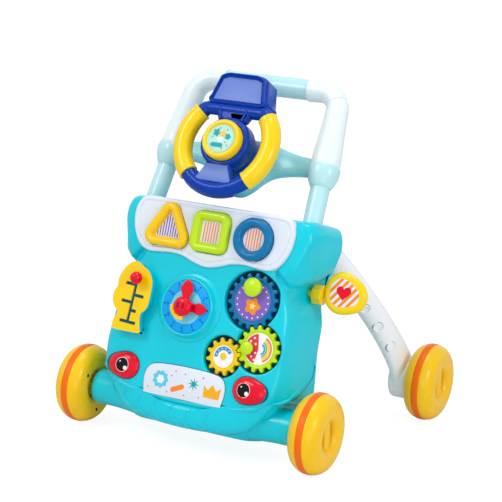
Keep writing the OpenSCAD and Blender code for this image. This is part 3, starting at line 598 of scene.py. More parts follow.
def well_outline(grow, count=40):
    """Outline of the three overlapping gear wells: each circle's arcs between its crossings with others."""
    a, b, c = BLUE_AT, LIME_AT, ORANGE_AT
    ra, rb, rc = (r + grow for r in WELL_RADII)

    def crossing(p, q, rp, rq):
        """Direction from p to q, and the angle from it to where their circles cross, by the cosine rule."""
        d = np.linalg.norm(q - p)
        to = np.degrees(np.arctan2(*(q - p)[::-1]))
        return to, np.degrees(np.arccos((d * d + rp * rp - rq * rq) / (2 * d * rp)))

    ab, wa = crossing(a, b, ra, rb)
    ba, wb = crossing(b, a, rb, ra)
    bc, wc = crossing(b, c, rb, rc)
    cb, wd = crossing(c, b, rc, rb)
    bc %= 360
    return np.vstack([
        arc(a, ra, ab + wa, ab - wa + 360, 2 * count)[:-1],
        arc(b, rb, ba + wb, bc - wc, count // 2)[:-1],
        arc(c, rc, cb + wd, cb - wd + 360, 2 * count)[:-1],
        arc(b, rb, bc + wc, ba - wb + 360, count)[:-1]])


# Gears: pitch circle per tooth, teeth, and the directions from the blue to the lime and on to the orange gear
TOOTH_PITCH = 3.65
BLUE_TEETH, LIME_TEETH, ORANGE_TEETH = 18, 15, 12
LIME_DIR, ORANGE_DIR = -70.5, -159


def next_gear(at, teeth, direction):
    """Centre of a gear that meshes with the one at a place: half the teeth of both away along a direction."""
    a = np.radians(direction)
    return at + TOOTH_PITCH * teeth / 2 * np.array([np.cos(a), np.sin(a)])


BLUE_AT = np.array([70.5, 109.5])
LIME_AT = next_gear(BLUE_AT, BLUE_TEETH + LIME_TEETH, LIME_DIR)
ORANGE_AT = next_gear(LIME_AT, LIME_TEETH + ORANGE_TEETH, ORANGE_DIR)
PANEL_HALF = [
    [0, 140], [18, 143.5], [34, 149], [52, 151], [70, 149.5], [86, 149], [100, 156],
    [111, 174], [114.5, 194], [111, 209], [99, 218], [60, 218.7], [0, 218.7]]


# Share of the edge's draw at each depth, from the side wall to the face's rim
ROLL = ((-48, 0), (-38, 0.02), (-29, 0.06), (-22, 0.115), (-16.5, 0.19), (-12.5, 0.285), (-9.6, 0.39),
        (-7.4, 0.5), (-5.8, 0.62), (-4.7, 0.74), (-3.9, 0.87), (-3.4, 1.0))
# How far the face falls at its rim, and over what width
RIM_DROP, RIM_REACH = 3.4, 15


def front_skin():
    """Rings from the seam to the face's rim, each drawn in towards the middle by its share of the edge's
    roll; the face's height falls by a parabola near the rim and dips along the creases."""
    rings = [body_ring(w, flare(w), UNDERSIDE_V, draw, draw, 11)
             for w, draw in ((-SEAM_DEPTH, 1.2), (-81.2, 0.2), (-79, 0), (-70, 0), (-62, 0), (-54, 0))]
    turn = [0.0] * len(rings)
    middle = np.array([0, 92.0])
    for w, share in ROLL:
        foot = UNDERSIDE_V if w < -21 else APRON_V
        ring = body_ring(w, flare(w) * (w < -4), foot, 0, 0, 11)
        away = ring[:, :2] - middle
        away /= np.linalg.norm(away, axis=1, keepdims=True)
        flat = 1 - 0.5 * ease(-ring[:, 1], -10, 20)
        ring[:, :2] -= away * (edge_inset(ring) * share * flat)[:, None]
        rings.append(ring)
        turn.append(share**0.7)
    rings = np.array(rings)
    for ring, face in zip(rings, turn):
        depth = crease(ring)
        ring[:, 2] -= depth * face
        bulge = 0.5 + 0.6 * np.exp(-(((ring[:, 2] + 20) / 20) ** 2))
        ring[:, 0] -= np.sign(ring[:, 0]) * depth * (1 - face) * bulge
    rim = rings[-1][:, :2]
    by_v = rim[(rim[:, 0] > 60) & (rim[:, 1] < 205)]
    by_v = by_v[np.argsort(by_v[:, 1])]

    def height(p):
        """The face's height: a parabola's fall near the rim, less the crease."""
        edge = np.interp(p[:, 1], by_v[:, 1], by_v[:, 0]) - np.abs(p[:, 0])
        return -RIM_DROP * np.clip(1 - edge / RIM_REACH, 0, 1) ** 2 - crease(p[:, :2])

    under_panel = smooth_loop(mirrored(PANEL_HALF)) * [0.9, 0.8] + [0, 185 * 0.2]
    lip_rows = ((2.4, 0), (1.5, -0.15), (0.7, -0.6), (0.15, -1.4), (0, -2.5), (0, -4))
    points, faces = filled(rim, [under_panel, well_outline(lip_rows[0][0])], 0.0, 2.6, height)
    points[: len(rim), 2] = rings[-1][:, 2]
    lips = []
    for grow, w in lip_rows:
        ring = lifted(well_outline(grow), w)
        ring[:, 2] += height(ring)
        lips.append(ring)
    lips.append(lifted(well_outline(0), -8.6))
    return placed([stack(rings), (points, faces), stack(lips)], FACE)


# A leg leaves the body's back at this place on the face's axes, and falls by this angle
LEG_U, LEG_V = 113.6, 190
LEG_FALL = np.radians(39.2)
LEG_LINE = np.array([0, np.cos(LEG_FALL), -np.sin(LEG_FALL)])


def leg_top(side):
    """Where a leg's middle line leaves the back."""
    return FACE([side * LEG_U, LEG_V, BACK_W])


def socket_rings(side):
    """Round socket for a leg: a cone that rises along the leg's own line and rolls over at its mouth."""
    steps = [(-14, 19.5), (-6, 23.2), (6, 22.6), (14, 21.9), (15.4, 21.3), (16, 20.2), (15.8, 18.2),
             (8, 17.75)]
    path = np.array([leg_top(side) - 12 * LEG_LINE + LEG_LINE * s for s, _ in steps])
    x = np.array([1.0, 0, 0])
    y = np.cross(LEG_LINE, x)
    a = full_turn(64)[:, None]
    circle = np.cos(a) * x + np.sin(a) * y
    return stack([p + r * circle for p, (_, r) in zip(path, steps)])


def door_loop(grow=0.0):
    """The battery door's outline, widened by a distance."""
    return box_loop(DOOR_SIZE[0] + 2 * grow, DOOR_SIZE[1] + 2 * grow, DOOR_CORNER + grow)


def rear_skin():
    """Rings of the body's outline that close in over the rear edge, with a flat back round the door's recess
    and two leg sockets."""
    levels = [(-81.98, 0, 0, 1.2), (-82.6, 0, 0, 0.2), (-84, 0, 0, 0), (-87, 0.8, 0.8, 0), (-89.5, 2.4, 2, 0),
              (-91.4, 5, 4.2, 0), (-92.5, 8.4, 7, 0), (-93, 12.5, 10.5, 0)]
    rings = np.array([body_ring(w, FLARE, UNDERSIDE_V, s + e, t + e) for w, s, t, e in levels])
    depth = np.array([crease(r) for r in rings])
    rings[:, :, 0] -= np.sign(rings[:, :, 0]) * depth * 0.2
    recess = [lifted(door_loop(g) + [0, DOOR_V], BACK_W + rise)
              for g, rise in ((1.2, 0), (0.6, 0.3), (0.5, 0.8), (0.5, 2.2), (-6, 2.2))]
    back = filled(rings[-1][:, :2], [recess[0][:, :2]], BACK_W)
    return placed([stack(rings), back, stack(recess)], FACE) + [socket_rings(s) for s in (-1, 1)]


BUMPER_HALF = [
    [0, -63], [40, -61.5], [70, -57], [88, -50.5], [98, -42], [109, -29], [119, -14], [114.5, -8],
    [92, -23.5], [58, -28.5], [0, -30.5]]
BUMPER_MIDDLE = np.array([0, -44.0])


def bumper_loop():
    """The bumper's outline."""
    return smooth_loop(mirrored(BUMPER_HALF))


def bumper_height(share):
    """Height of the bumper's front at a share of the way out: the root of one less a power of the share."""
    return -16 + 17.4 * (1 - share**3.4) ** 0.5


def bumper():
    """Pillow on the bumper's outline: rings drawn to its middle while they rise, and a skirt behind."""
    loop = bumper_loop()
    rings = [lifted(loop, -24)]
    for share in (1, 0.995, 0.98, 0.955, 0.92, 0.87, 0.8, 0.7, 0.55, 0.35, 0.15, 0.001):
        rings.append(lifted(BUMPER_MIDDLE + (loop - BUMPER_MIDDLE) * share, bumper_height(share)))
    return placed([stack(rings), filled(loop, (), -24.0)], FACE)


def bumper_grooves():
    """Curved ribs across the bumper's front: each thin bar leaves the bead, bows to the left and sweeps to
    the right along the lower edge; its height is the bumper's own at each point."""
    loop = bumper_loop() - BUMPER_MIDDLE
    order = np.argsort(np.arctan2(loop[:, 1], loop[:, 0]))
    angle, reach = np.arctan2(loop[order, 1], loop[order, 0]), np.linalg.norm(loop[order], axis=1)
    out = []
    for u in (-103, -80, -56, -32, -7, 19, 45):
        high = np.interp(abs(u), [0, 40, 70, 103], [-34.5, -33.5, -31, -22])
        low = np.interp(abs(u), [0, 40, 70, 103], [-60.5, -59.5, -55, -40])
        fall = low - high
        side = (u + 110) / 110
        p = smooth_path([
            (u, high), (u - 4.4, high + 0.2 * fall), (u - 5.6, high + 0.42 * fall),
            (u - 3.4, high + 0.66 * fall), (u + 2 + 3 * side, high + 0.86 * fall),
            (u + 9 + 8 * side, high + 0.97 * fall)], 7)
        from_middle = p - BUMPER_MIDDLE
        share = np.linalg.norm(from_middle, axis=1) / np.interp(
            np.arctan2(from_middle[:, 1], from_middle[:, 0]), angle, reach, period=2 * np.pi)
        w = bumper_height(np.clip(share, 0, 0.985))
        n = np.arange(len(p))
        size = 1.05 * np.minimum(1, 0.3 + np.minimum(n, n[::-1]) / 9)
        out += closed_tube(np.column_stack([p, w + 0.15]), size, 0.3, (0, 0, 1), 12)
    return placed(out, FACE)


def axle_sleeve():
    """Sleeve round the front axle: its radius waves from a rolled mouth at each wheel to a fuller middle."""
    half = np.array([(27, 0), (27, 40), (26.6, 66), (25.4, 84), (23.6, 100), (22.6, 114), (22.4, 126),
                     (22.5, 140), (22.4, 144.6), (21.8, 146), (20.6, 146.5), (4, 146.5)])
    along_x = np.array([[0, 0, 1], [1, 0, 0], [0, 1, 0]], float)
    profile = np.vstack([half[::-1] * [1, -1], half[1:]])
    return placed(revolve(profile, 96), Place(along_x, (0, FRONT_Y, WHEEL_R)))


def under_tray():
    """Tray under the body: round-cornered rings that grow from its keel to the shell's lower edge."""
    rows = [(-63.5, 80, 26), (-62, 84, 30), (-58, 88, 34), (-50, 93, 37), (-42, 100, 39), (-34, 109, 40),
            (-26, 117, 41), (-19, 121, 41), (-12.3, 122, 41), (-6, 120.5, 40)]
    out = []
    for v, half_u, half_w in rows:
        ring = box_loop(2 * half_u, 2 * half_w, 14, 8)
        out.append(np.column_stack([ring[:, 0], np.full(len(ring), v), -ring[:, 1] - 55 + (v + 12) * 0.12]))
    return placed(capped(out), FACE)


# The bead's side part: height up the body and depth behind the face
BEAD_SIDE = ((-13, -12), (-6, -21), (3, -33), (13, -47), (24, -61), (36, -72), (50, -77.5), (66, -80))


def side_reach(v, w):
    """Half width of the body's side at height v and depth w: its outline there, widened by the flare."""
    ring = body_ring(0, 0, UNDERSIDE_V, 0, 0, 10)
    right = ring[(ring[:, 0] > 90) & (ring[:, 1] < 150)]
    right = right[np.argsort(right[:, 1])]
    return np.interp(v, right[:, 1], right[:, 0]) + flare(w)


def face_bead():
    """Round bead that follows the face's lower edge, turns round both cheeks and climbs along their sides."""
    half = [(0, -30.2, -3.2), (30, -29.8, -3.2), (60, -28.2, -3.4), (84, -24.6, -4), (100, -19.6, -5.4)]
    v, w = np.array(BEAD_SIDE).T
    half = np.vstack([half, np.stack([side_reach(v, w) - 0.6, v, w], 1)])
    p = smooth_path(np.vstack([half[:0:-1] * [-1, 1, 1], half]), 8)
    n = np.arange(len(p))
    ends = np.minimum(1, 0.2 + np.minimum(n, n[::-1]) / 30)
    size = 3.7 - 1.3 * ease(np.abs(p[:, 0]), 96, 124)
    return placed(closed_tube(p, size * ends, 0.6, (0, 0, 1), 20), FACE)


def side_lines():
    """A fine dark line below the bead on each cheek, set off from the bead's own path: the bead's painted
    shadow.
    """
    out = []
    v, w = np.array(BEAD_SIDE[1:-1]).T
    v, w = v - 5, np.maximum(w - 5.5, -80.6)
    keep = v > -11.5
    v, w = v[keep], w[keep]
    path = smooth_path(np.stack([side_reach(v, w) + 0.05, v, w], 1), 8)
    for side in (1, -1):
        out += closed_tube(path * [side, 1, 1], 0.4, 0.2, (0, 0, 1), 8)
    return placed(out, FACE)


DOOR_PLACE = FACE.at(0, DOOR_V, BACK_W + 1.2, turn_y(180))


def battery_door():
    """Door slab with rolled edges and four screw wells, in its recess in the flat back."""
    levels = [(0, -1.0), (0, 0.6), (0.3, 1.0), (0.8, 1.2)]
    wells = [(0.4, 1.2), (0, 0.9), (0, -0.8)]
    return placed(plate(door_loop(), levels, [disc(3.6, 32, at) for at in DOOR_SCREWS], wells), DOOR_PLACE)


def door_screws():
    """Screw heads: shallow domes with a crossed slot, in the door's four wells."""
    head = revolve([(3.5, -1.0), (3.5, -0.4), (2.8, -0.05), (1.2, 0.15), (AXIS, 0.2)], 32)
    for turn in (0, 90):
        head.append(print_shape(turned_loop(box_loop(3.6, 0.8, 0.2, 3), turn), 0.18, 0.12))
    return [patch for x, y in DOOR_SCREWS for patch in placed(head, DOOR_PLACE.at(x, y))]


# ---------- Panel and buttons ----------


def button_loop(kind, drawn_in=0.0):
    """Outline of a button drawn in by a distance: round triangle, round square or circle."""
    if kind == 0:
        r = 13 - drawn_in
        draw = 1 - max(1.5 - r, 0) / 10
        centres = polar(20.5 * draw, np.radians([-30, 90, 210])) - [0, 3.6]
        return rounded(centres, max(r, 1.5), 14)
    if kind == 1:
        side = 2 * (26 - drawn_in)
        return box_loop(side, side, max(12 - drawn_in, 1.2), 12)
    return disc(26.8 - drawn_in, 96)


def button_panel():
    """Panel slab with a rolled edge, a groove that follows it, and a rolled lip round each button hole."""
    levels = [(0, -6), (0, 2.6), (0.25, 3.7), (0.9, 4.5), (1.8, 4.9), (2.8, 5.0), (5.0, 5.0), (5.4, 4.6),
              (5.8, 4.0), (6.1, 3.8), (6.6, 3.8), (6.9, 4.0), (7.3, 4.6), (7.7, 5.0)]
    holes = [button_loop(kind, -0.5) + [(kind - 1) * BUTTON_PITCH, BUTTON_V] for kind in range(3)]
    walls = [(1.3, 5.0), (0.7, 4.85), (0.2, 4.3), (0, 3.4), (0, -0.4)]
    return placed(plate(smooth_loop(mirrored(PANEL_HALF)), levels, holes, walls), FACE)


# Middle height and half width of a button's rim section, and the inset and height of its window's floor
RIM_LIFT, RIM_HALF, WINDOW_INSET, WINDOW_W = 8.6, 5.4, 12.2, 5.3


def button_cap(kind):
    """Button: a straight wall, a rim whose section is half an oval, and a slope to the window's floor."""
    rim = [(RIM_HALF - RIM_HALF * np.cos(a), RIM_LIFT + 4.35 * np.sin(a)) for a in quarter(14, 12, 180)]
    levels = [(0, -7), (0, 8.2), *rim, (11.6, 6.4), (WINDOW_INSET, WINDOW_W)]
    rings = [lifted(button_loop(kind, d), w) for d, w in levels]
    ends = [filled(button_loop(kind, d), (), w) for d, w in (levels[-1], levels[0])]
    return placed([stack(rings), *ends], button_place(kind))


def clipped(loop, low, high):
    """The part of a convex loop between two upright lines: its lower and upper sides by interpolation."""
    x = np.linspace(max(low, loop[:, 0].min() + 0.05), min(high, loop[:, 0].max() - 0.05), 40)
    order = np.roll(loop, -int(np.argmin(loop[:, 0])), 0)
    turn = int(np.argmax(order[:, 0]))
    under, over = order[: turn + 1], np.vstack([order[turn:], order[:1]])
    y0 = np.interp(x, under[:, 0], under[:, 1])
    y1 = np.interp(x, over[::-1, 0], over[::-1, 1])
    return np.vstack([np.stack([x, y0], 1), np.stack([x, y1], 1)[::-1]])


def button_window(kind):
    """White window in a button's floor."""
    window = print_shape(button_loop(kind, WINDOW_INSET + 0.2), WINDOW_W + 0.05, 0.12)
    return placed([window], button_place(kind))


def window_stripes(kind, width, pitch, count):
    """Upright stripes across a window, each cut to the window's outline."""
    loop = button_loop(kind, WINDOW_INSET + 0.8)
    out = []
    for k in range(count):
        x = (k - (count - 1) / 2) * pitch
        low, high = x - width / 2, x + width / 2
        if high <= loop[:, 0].max() and low >= loop[:, 0].min():
            out.append(print_shape(clipped(loop, low, high), WINDOW_W + 0.2, 0.08))
    return placed(out, button_place(kind))


# ---------- Shifter ----------

SHIFT_OUTLINE = [
    [2, 44], [9.5, 39], [15, 37], [21.5, 29], [24.5, 19], [24.5, -1], [22.5, -10],
    [16.5, -17], [15.5, -22], [16.5, -30], [18.5, -39], [17, -41.5], [-16, -41.5],
    [-19.5, -39], [-18.5, -31], [-15.5, -24], [-15.5, -19], [-20.5, -15], [-24.5, -8],
    [-25.5, 0], [-24, 6], [-21.5, 11], [-21.5, 21], [-18, 31], [-11, 40], [-4, 44]]
# The knob's slot: its top end, tilt in degrees, width and the width of its branches
SLOT_TOP, SLOT_TILT = (3.8, 25.5), 3.5
SLOT_WIDTH, BRANCH_WIDTH = 4.6, 4.0
# Branches to the left, from the top, and to the right, from the foot: depth below the slot's top and length
LEFT_BRANCHES, RIGHT_BRANCHES = ((9, 15), (32, 16)), ((42, 9), (22, 15))
# The slot's foot: depth below its top and half length; then the height of the boss under the plate
FOOT_DEPTH, FOOT_REACH = 57, 12
BOSS_TOP = 12


def slot_loop(grow=0.0):
    """The slot's outline, counterclockwise: down its left side past the branches, round the foot and up."""
    h, c = SLOT_WIDTH / 2 + grow, BRANCH_WIDTH / 2 + grow
    points = list(arc((0, 0), h, 90, 180, 8))
    for d, length in LEFT_BRANCHES:
        points += [(-h, -d + c), (-length - grow, -d + c), (-length - grow, -d - c), (-h, -d - c)]
    reach, d = FOOT_REACH + grow, FOOT_DEPTH
    points += [(-h, -d + c), (-reach, -d + c), (-reach, -d - c), (reach, -d - c), (reach, -d + c),
               (h, -d + c)]
    for d, length in RIGHT_BRANCHES:
        points += [(h, -d - c), (length + grow, -d - c), (length + grow, -d + c), (h, -d + c)]
    points += list(arc((0, 0), h, 0, 90, 8)[:-1])
    return turned_loop(np.array(points), -SLOT_TILT) + SLOT_TOP


def shifter_boss():
    """Boss under the plate: walls with a little draft on the plate's outline, and a rolled foot."""
    levels = [(-2.6, -4), (-2.4, 0.6), (-1.4, 1.2), (-0.9, 2.4), (-0.3, 9), (0, 11.6), (0.5, BOSS_TOP)]
    return placed(plate(smooth_loop(SHIFT_OUTLINE), levels), SHIFT)


def shifter_rim():
    """Dark band round the boss's foot, and a dark shim that shows as a fine line round the plate: painted
    shade at the foot and under the plate's edge.
    """
    loop = smooth_loop(SHIFT_OUTLINE)
    shim = print_shape(inset(loop, -0.8), BOSS_TOP + 0.15, 0.25)
    return placed([print_shape(inset(loop, -4.2), 0.1, 0.5), shim], SHIFT)


def shifter_plate():
    """Plate with a rolled edge and a slot with side branches."""
    levels = [(0.4, 12.1), (-0.1, 12.4), (-0.1, 13.8), (0.2, 14.5), (0.8, 14.9), (1.7, 15.05)]
    wall = [(0, 15.05), (0, BOSS_TOP)]
    return placed(plate(smooth_loop(SHIFT_OUTLINE), levels, [slot_loop()], wall), SHIFT)


def shifter_gate():
    """Dark sheet that shows through the slot: painted shade in the slot."""
    return placed([print_shape(slot_loop(0.8), BOSS_TOP + 0.2, 0.1)], SHIFT)


def shift_knob():
    """Stem that leans to the right out of the slot, with a ball on its end and a collar at its foot."""
    place = SHIFT.at(*SLOT_TOP, 0, turn_z(-SLOT_TILT))
    stem = placed(revolve([(AXIS, 6), (4.6, 6), (4.6, 10), (2, 10.2), (2, 15), (2, 16.5)], 32), place)
    lean = place.at(0, 0, 15, turn_y(22))
    ball = polar(8, quarter(26, -78)) + [0, 12.5]
    ball[-1, 0] = POLE
    return stem + placed(revolve(np.vstack([[(2, 0), (2, 3.6), (1.9, 4.4)], ball]), 64), lean)


# ---------- Clock ----------


def clock_boss():
    """Flange, cove and raised rim, turned round the clock's axis, with the middle pin."""
    profile = [(44.6, -3), (44.5, -0.2), (44.1, 0.8), (43.2, 1.9), (42, 2.5), (40.2, 2.8), (38.9, 3.3),
               (38.1, 4.4), (37.4, 8.0), (36.8, 9.6), (36.0, 10.4), (35.1, 10.6), (34.2, 10.35), (33.7, 9.9),
               (33.5, 9.0), (33.45, 8.7)]
    return placed(revolve(profile, 96) + revolve([(3, 8), (3, 20), (2.4, 20.6), (AXIS, 20.6)], 32), CLOCK)


# Heights of the dial's ring and of its middle
DIAL_W, DIAL_MIDDLE_W = 10.05, 9.8


def clock_dial():
    """Flat dial with a shallow step between its ring and its middle."""
    profile = [(33.4, 8.6), (33.3, 9.9), (33.0, DIAL_W), (22.4, DIAL_W), (22, DIAL_MIDDLE_W),
               (3.0, DIAL_MIDDLE_W)]
    return placed(revolve(profile, 96), CLOCK)


def digits():
    """The hours 1 to 12 as flat figures round the dial."""
    out = []
    for hour in range(1, 13):
        curve = bpy.data.curves.new("figure", "FONT")
        curve.body = str(hour)
        curve.align_x, curve.align_y = "CENTER", "CENTER"
        curve.size = 6.2
        curve.resolution_u = 3
        thing = bpy.data.objects.new("figure", curve)
        mesh = bpy.data.meshes.new_from_object(thing)
        co = np.zeros(len(mesh.vertices) * 3)
        mesh.vertices.foreach_get("co", co)
        a = np.radians(90 - 30 * hour)
        co = co.reshape(-1, 3) + [26.6 * np.cos(a), 26.6 * np.sin(a), DIAL_W + 0.11]
        out.append((CLOCK(co), [[list(f.vertices) for f in mesh.polygons]]))
        bpy.data.meshes.remove(mesh)
        bpy.data.objects.remove(thing)
        bpy.data.curves.remove(curve)
    return out


def hand_patches(length, width, turn, w):
    """Ear-shaped hand: round the pin, a narrow neck and a pointed leaf, with rolled edges."""
    leaf = smooth_loop([
        (-9.4, 0), (-6.6, -6.6), (0, -9.4), (5.5, -7.4), (length * 0.36, -4.8),
        (length * 0.62, -width / 2), (length * 0.85, -width * 0.34), (length, 0),
        (length * 0.85, width * 0.34), (length * 0.62, width / 2), (length * 0.36, 4.8),
        (5.5, 7.4), (0, 9.4), (-6.6, 6.6)], 6)
    place = CLOCK.at(0, 0, w + 1.3, turn_z(turn))
    return placed(slab(leaf, 2.6, 0.8, 3), place)


def nose_cap():
    """Cap on the hands: a straight skirt and a domed top."""
    top = [(12.4 * np.cos(a) ** 0.6, 19.2 + 6.2 * np.sin(a)) for a in quarter(10)]
    return placed(revolve([(11.8, 16.65), (12.4, 16.9), *top[:-1], (POLE, top[-1][1])], 72), CLOCK)


def nose_marks():
    """Two upright nostril slots on the cap."""
    return placed([print_shape(box_loop(3, 7.4, 1.5, 6) + [x, 0.6], 25.0, 0.35) for x in (-3.6, 3.6)], CLOCK)


def hand_tab():
    """Ribbed tab round the cap's lower left quarter: a ring sector with three bars across it."""
    outer = arc((0, 0), 17.3, 180, 280, 24)
    inner = arc((0, 0), 12.55, 280, 180, 24)
    out = placed(slab(np.vstack([outer, inner]), 3.9, 0.6, 3), CLOCK.at(0, 0, 18.7))
    bar = slab(box_loop(4.6, 1.5, 0.6, 4), 1.6, 0.5, 3)
    for a in (205, 230, 255):
        out += placed(bar, CLOCK.at(0, 0, 20.8, turn_z(a)).at(15, 0, 0))
    return out


# ---------- Gears ----------

# Each gear's turn sets a tooth into a gap of the gear before: half its tooth step past the line between them
LIME_TURN = LIME_DIR + 180 + 180 / LIME_TEETH
ORANGE_TURN = ORANGE_DIR + 180 + 180 / ORANGE_TEETH + (ORANGE_DIR - LIME_TURN) * LIME_TEETH / ORANGE_TEETH
GEARS = {
    "blue": (BLUE_AT, BLUE_TEETH, LIME_DIR),
    "lime": (LIME_AT, LIME_TEETH, LIME_TURN),
    "orange": (ORANGE_AT, ORANGE_TEETH, ORANGE_TURN),
}
# Heights of the gears' undersides and of the wells' floor
GEAR_W, WELL_W = -10.5, -13


def gear_place(key):
    """Frame of a gear, turned so that its first tooth points along X."""
    at, _, turn = GEARS[key]
    return FACE.at(*at, GEAR_W, turn_z(turn))


def gear_loop(teeth, drawn_in=0.0):
    """Toothed outline: the radius follows the hyperbolic tangent of a cosine, which rounds every tooth."""
    a = full_turn(teeth * 20)
    wave = np.tanh(2.3 * (np.cos(teeth * a) - 0.2)) / np.tanh(2.3 * 0.8)
    return polar(TOOTH_PITCH * teeth / 2 - 0.35 + 2.5 * np.clip(wave, -1, 1) - drawn_in, a)


def gear_body(key):
    """Gear: toothed rings with a rolled top edge, a round step inside the teeth and a dished middle."""
    teeth = GEARS[key][1]
    root = TOOTH_PITCH * teeth / 2 - 3.3
    edge = ((0.5, 0), (0, 0.4), (0, 5.4), (0.2, 6.1), (0.6, 6.6), (1.2, 6.8))
    step = ((0.6, 6.85), (1.6, 6.95), (2.4, 6.6), (3, 6.15), (3.6, 6.1), (root - 4, 6.1))
    rings = [lifted(gear_loop(teeth, d), w) for d, w in edge]
    rings += [lifted(polar(root - d, full_turn(teeth * 20)), w) for d, w in step]
    return placed(capped(rings), gear_place(key))


def gear_well():
    """The wells' wall and floor, with a post and a collar under each gear, in dark teal as painted shade."""
    outline = well_outline(0.15)
    out = [stack([lifted(outline, -8.2), lifted(outline, WELL_W)]), filled(outline, (), WELL_W)]
    post = revolve([(6, WELL_W), (6, -10.9), (3, -10.8), (3, -5.2), (AXIS, -5.2)], 32)
    for at in (BLUE_AT, LIME_AT, ORANGE_AT):
        out += placed(post, Place(origin=(*at, 0)))
    return placed(out, FACE)


def knob(at, x, y, r, height):
    """Knob on a gear: a waisted stem and a head that rolls over into a low dome."""
    stem = np.array([(0.8, 0), (0.74, 0.2), (0.8, 0.38), (0.97, 0.48), (1, 0.56)]) * [r, height]
    head = dome_rows(r, height * 0.6, height * 0.38, 9)[1:]
    return placed(revolve([*stem, *head], 64), FACE.at(*at, -3.45).at(x, y, 0))


# ---------- Eyes and label ----------


# Eyes: distance from the middle, height of the dome, and where the left and the right pupil sit
EYE_U, EYE_RISE = 91, 7.2
PUPIL_U = (-90, 86)
EYE_OUTLINE = [
    (-22.5, 0), (-20, -9), (-12, -15.5), (-2, -17), (9, -14.6), (18, -10.5), (23.4, -4), (23.6, 4),
    (18.5, 10.5), (9, 14.6), (-2, 17), (-12, 15.5), (-20, 9)]


def eye(side):
    """Pebble eye that wraps the face's corner: an egg outline drawn in by a cosine while it rises by a sine,
    bent back at its outer end as a parabola."""
    loop = smooth_loop(EYE_OUTLINE, 8)
    dome = [lifted(loop * np.cos(a) ** 0.8, EYE_RISE * np.sin(a)) for a in quarter(16)]
    rings = np.array([lifted(loop, -3.5), *dome])
    rings[:, :, 2] -= eye_bend(rings[:, :, 0])
    if side < 0:
        rings[:, :, 0] *= -1
        rings = rings[:, ::-1]
    return placed([stack(rings)], FACE.at(side * EYE_U, 0))


def eye_bend(x):
    """How far the eye bends back at a distance outwards from its middle."""
    return 0.010 * np.clip(x - 6, 0, None) ** 2


def seat(loop, grow):
    """Dark sheet on the widened outline of a piece set into the face, that shows as a fine line round it:
    painted shade in the gap round the piece.
    """
    wide = inset(loop, -grow)
    return [stack([lifted(wide, -5.0), lifted(wide, 0.16)]), filled(wide, (), 0.16)]


def eye_height(side, u, v):
    """Height of the eye's dome above the face at places on it, from the dome's own radius share."""
    x = (u - side * EYE_U) * side
    share = np.clip(np.hypot(x / 23.5, v / 17) ** (1 / 0.8), 0, 0.999)
    return EYE_RISE * np.sqrt(1 - share**2) - eye_bend(x)


def pupil_patches(side, u, r, lift, x=0.0, y=0.0):
    """A thin disc that lies on the dome: its points take the dome's height."""
    rings = []
    for share in (1, 0.8, 0.6, 0.4, 0.2, 0.0005):
        p = disc(r * share, 48, (u + x, y))
        rings.append(np.column_stack([p, eye_height(side, p[:, 0], p[:, 1]) + lift]))
    return placed([stack([rings[0] - [0, 0, 1.2], *rings])], FACE)


# Height of the label's face
LABEL_W = 1.5
LABEL_HALF = [[0, -28], [50, -28], [56, -24], [58, -6], [52, 7], [36, 11.5], [0, 13]]


def label_plate():
    """Thin label with a rolled edge."""
    levels = [(0, -3.5), (0, 1.0), (0.2, 1.35), (0.6, LABEL_W)]
    return placed(plate(smooth_loop(mirrored(LABEL_HALF)), levels), FACE)


# ---------- Handle ----------


def arm_u(v):
    """Distance of a handle tube from the middle at a height along the handle."""
    return TUBE_U - v * np.tan(ARM_SLOPE)


def bend_path(side, start, stop, count):
    """Points along the bend from a tube to the grip, between two angles in degrees."""
    centre = (arm_u(BEND_V) - BEND_R, BEND_V)
    return lifted(arc(centre, BEND_R, start, stop, count), 0) * [side, 1, 1]


def lower_tube(side):
    """Straight tube from the body into the handle's foot."""
    return placed(revolve([(12.4, -36), (12.4, 80)], 64), arm_place(side))


def arm(side):
    """Round foot that tapers into the shaft, and the bend's first part: one section carried on one path."""
    foot_r, foot_v, top_r = 19, 78, 14.8
    length = (BEND_V - foot_v) / np.cos(ARM_SLOPE)
    foot = foot_r * np.stack([np.sin(quarter(6, 90, 40)), np.cos(quarter(6, 90, 40))], 1)[:-1] + [length, 0]
    t = np.linspace(-0.1, 1, 18)
    shaft = np.stack([length * (1 - t), foot_r - (foot_r - top_r) * ease(t, -0.15, 1.05)], 1)
    away, radii = np.vstack([foot, shaft]).T
    u, v = arm_u(BEND_V) + away * np.sin(ARM_SLOPE), BEND_V - away * np.cos(ARM_SLOPE)
    path = np.stack([side * u, v, np.zeros(len(u))], 1)
    bend_radii = top_r - 0.5 * np.linspace(3, 30.6, 9) / 31
    path, radii = np.vstack([path, bend_path(side, 3, 30.6, 9)]), np.concatenate([radii, bend_radii])
    return placed(closed_tube(path, radii, 0.7, (0, 0, 1), 48), HANDLE)


def elbow(side):
    """Second part of the bend and the straight collar beside the grip."""
    x = np.linspace(arm_u(BEND_V) - BEND_R, 60.3, 6)[1:]
    collar = np.stack([side * x, np.full(5, GRIP_V), np.zeros(5)], 1)
    radii = np.concatenate([np.full(16, 14.2), np.linspace(14.3, 15.0, 5)])
    path = np.vstack([bend_path(side, 31.4, 90, 16), collar])
    return placed(closed_tube(path, radii, 0.7, (0, 0, 1), 48), HANDLE)


def grip_bar():
    """Straight grip that swells a little in its middle."""
    x = np.linspace(-59.8, 59.8, 30)
    path = np.stack([x, np.full(30, GRIP_V), np.zeros(30)], 1)
    return placed(closed_tube(path, 13.3 + 0.2 * np.cos(x / 60 * np.pi / 2), 0.8, (0, 0, 1), 48), HANDLE)


CROSSBAR_HALF = [
    [0, 16], [10, 18], [22, 27], [32, 38], [44, 47], [60, 52], [80, 55], [100, 56],
    [106, 60], [106, 76], [98, 80], [80, 81], [58, 85], [34, 91], [0, 94]]


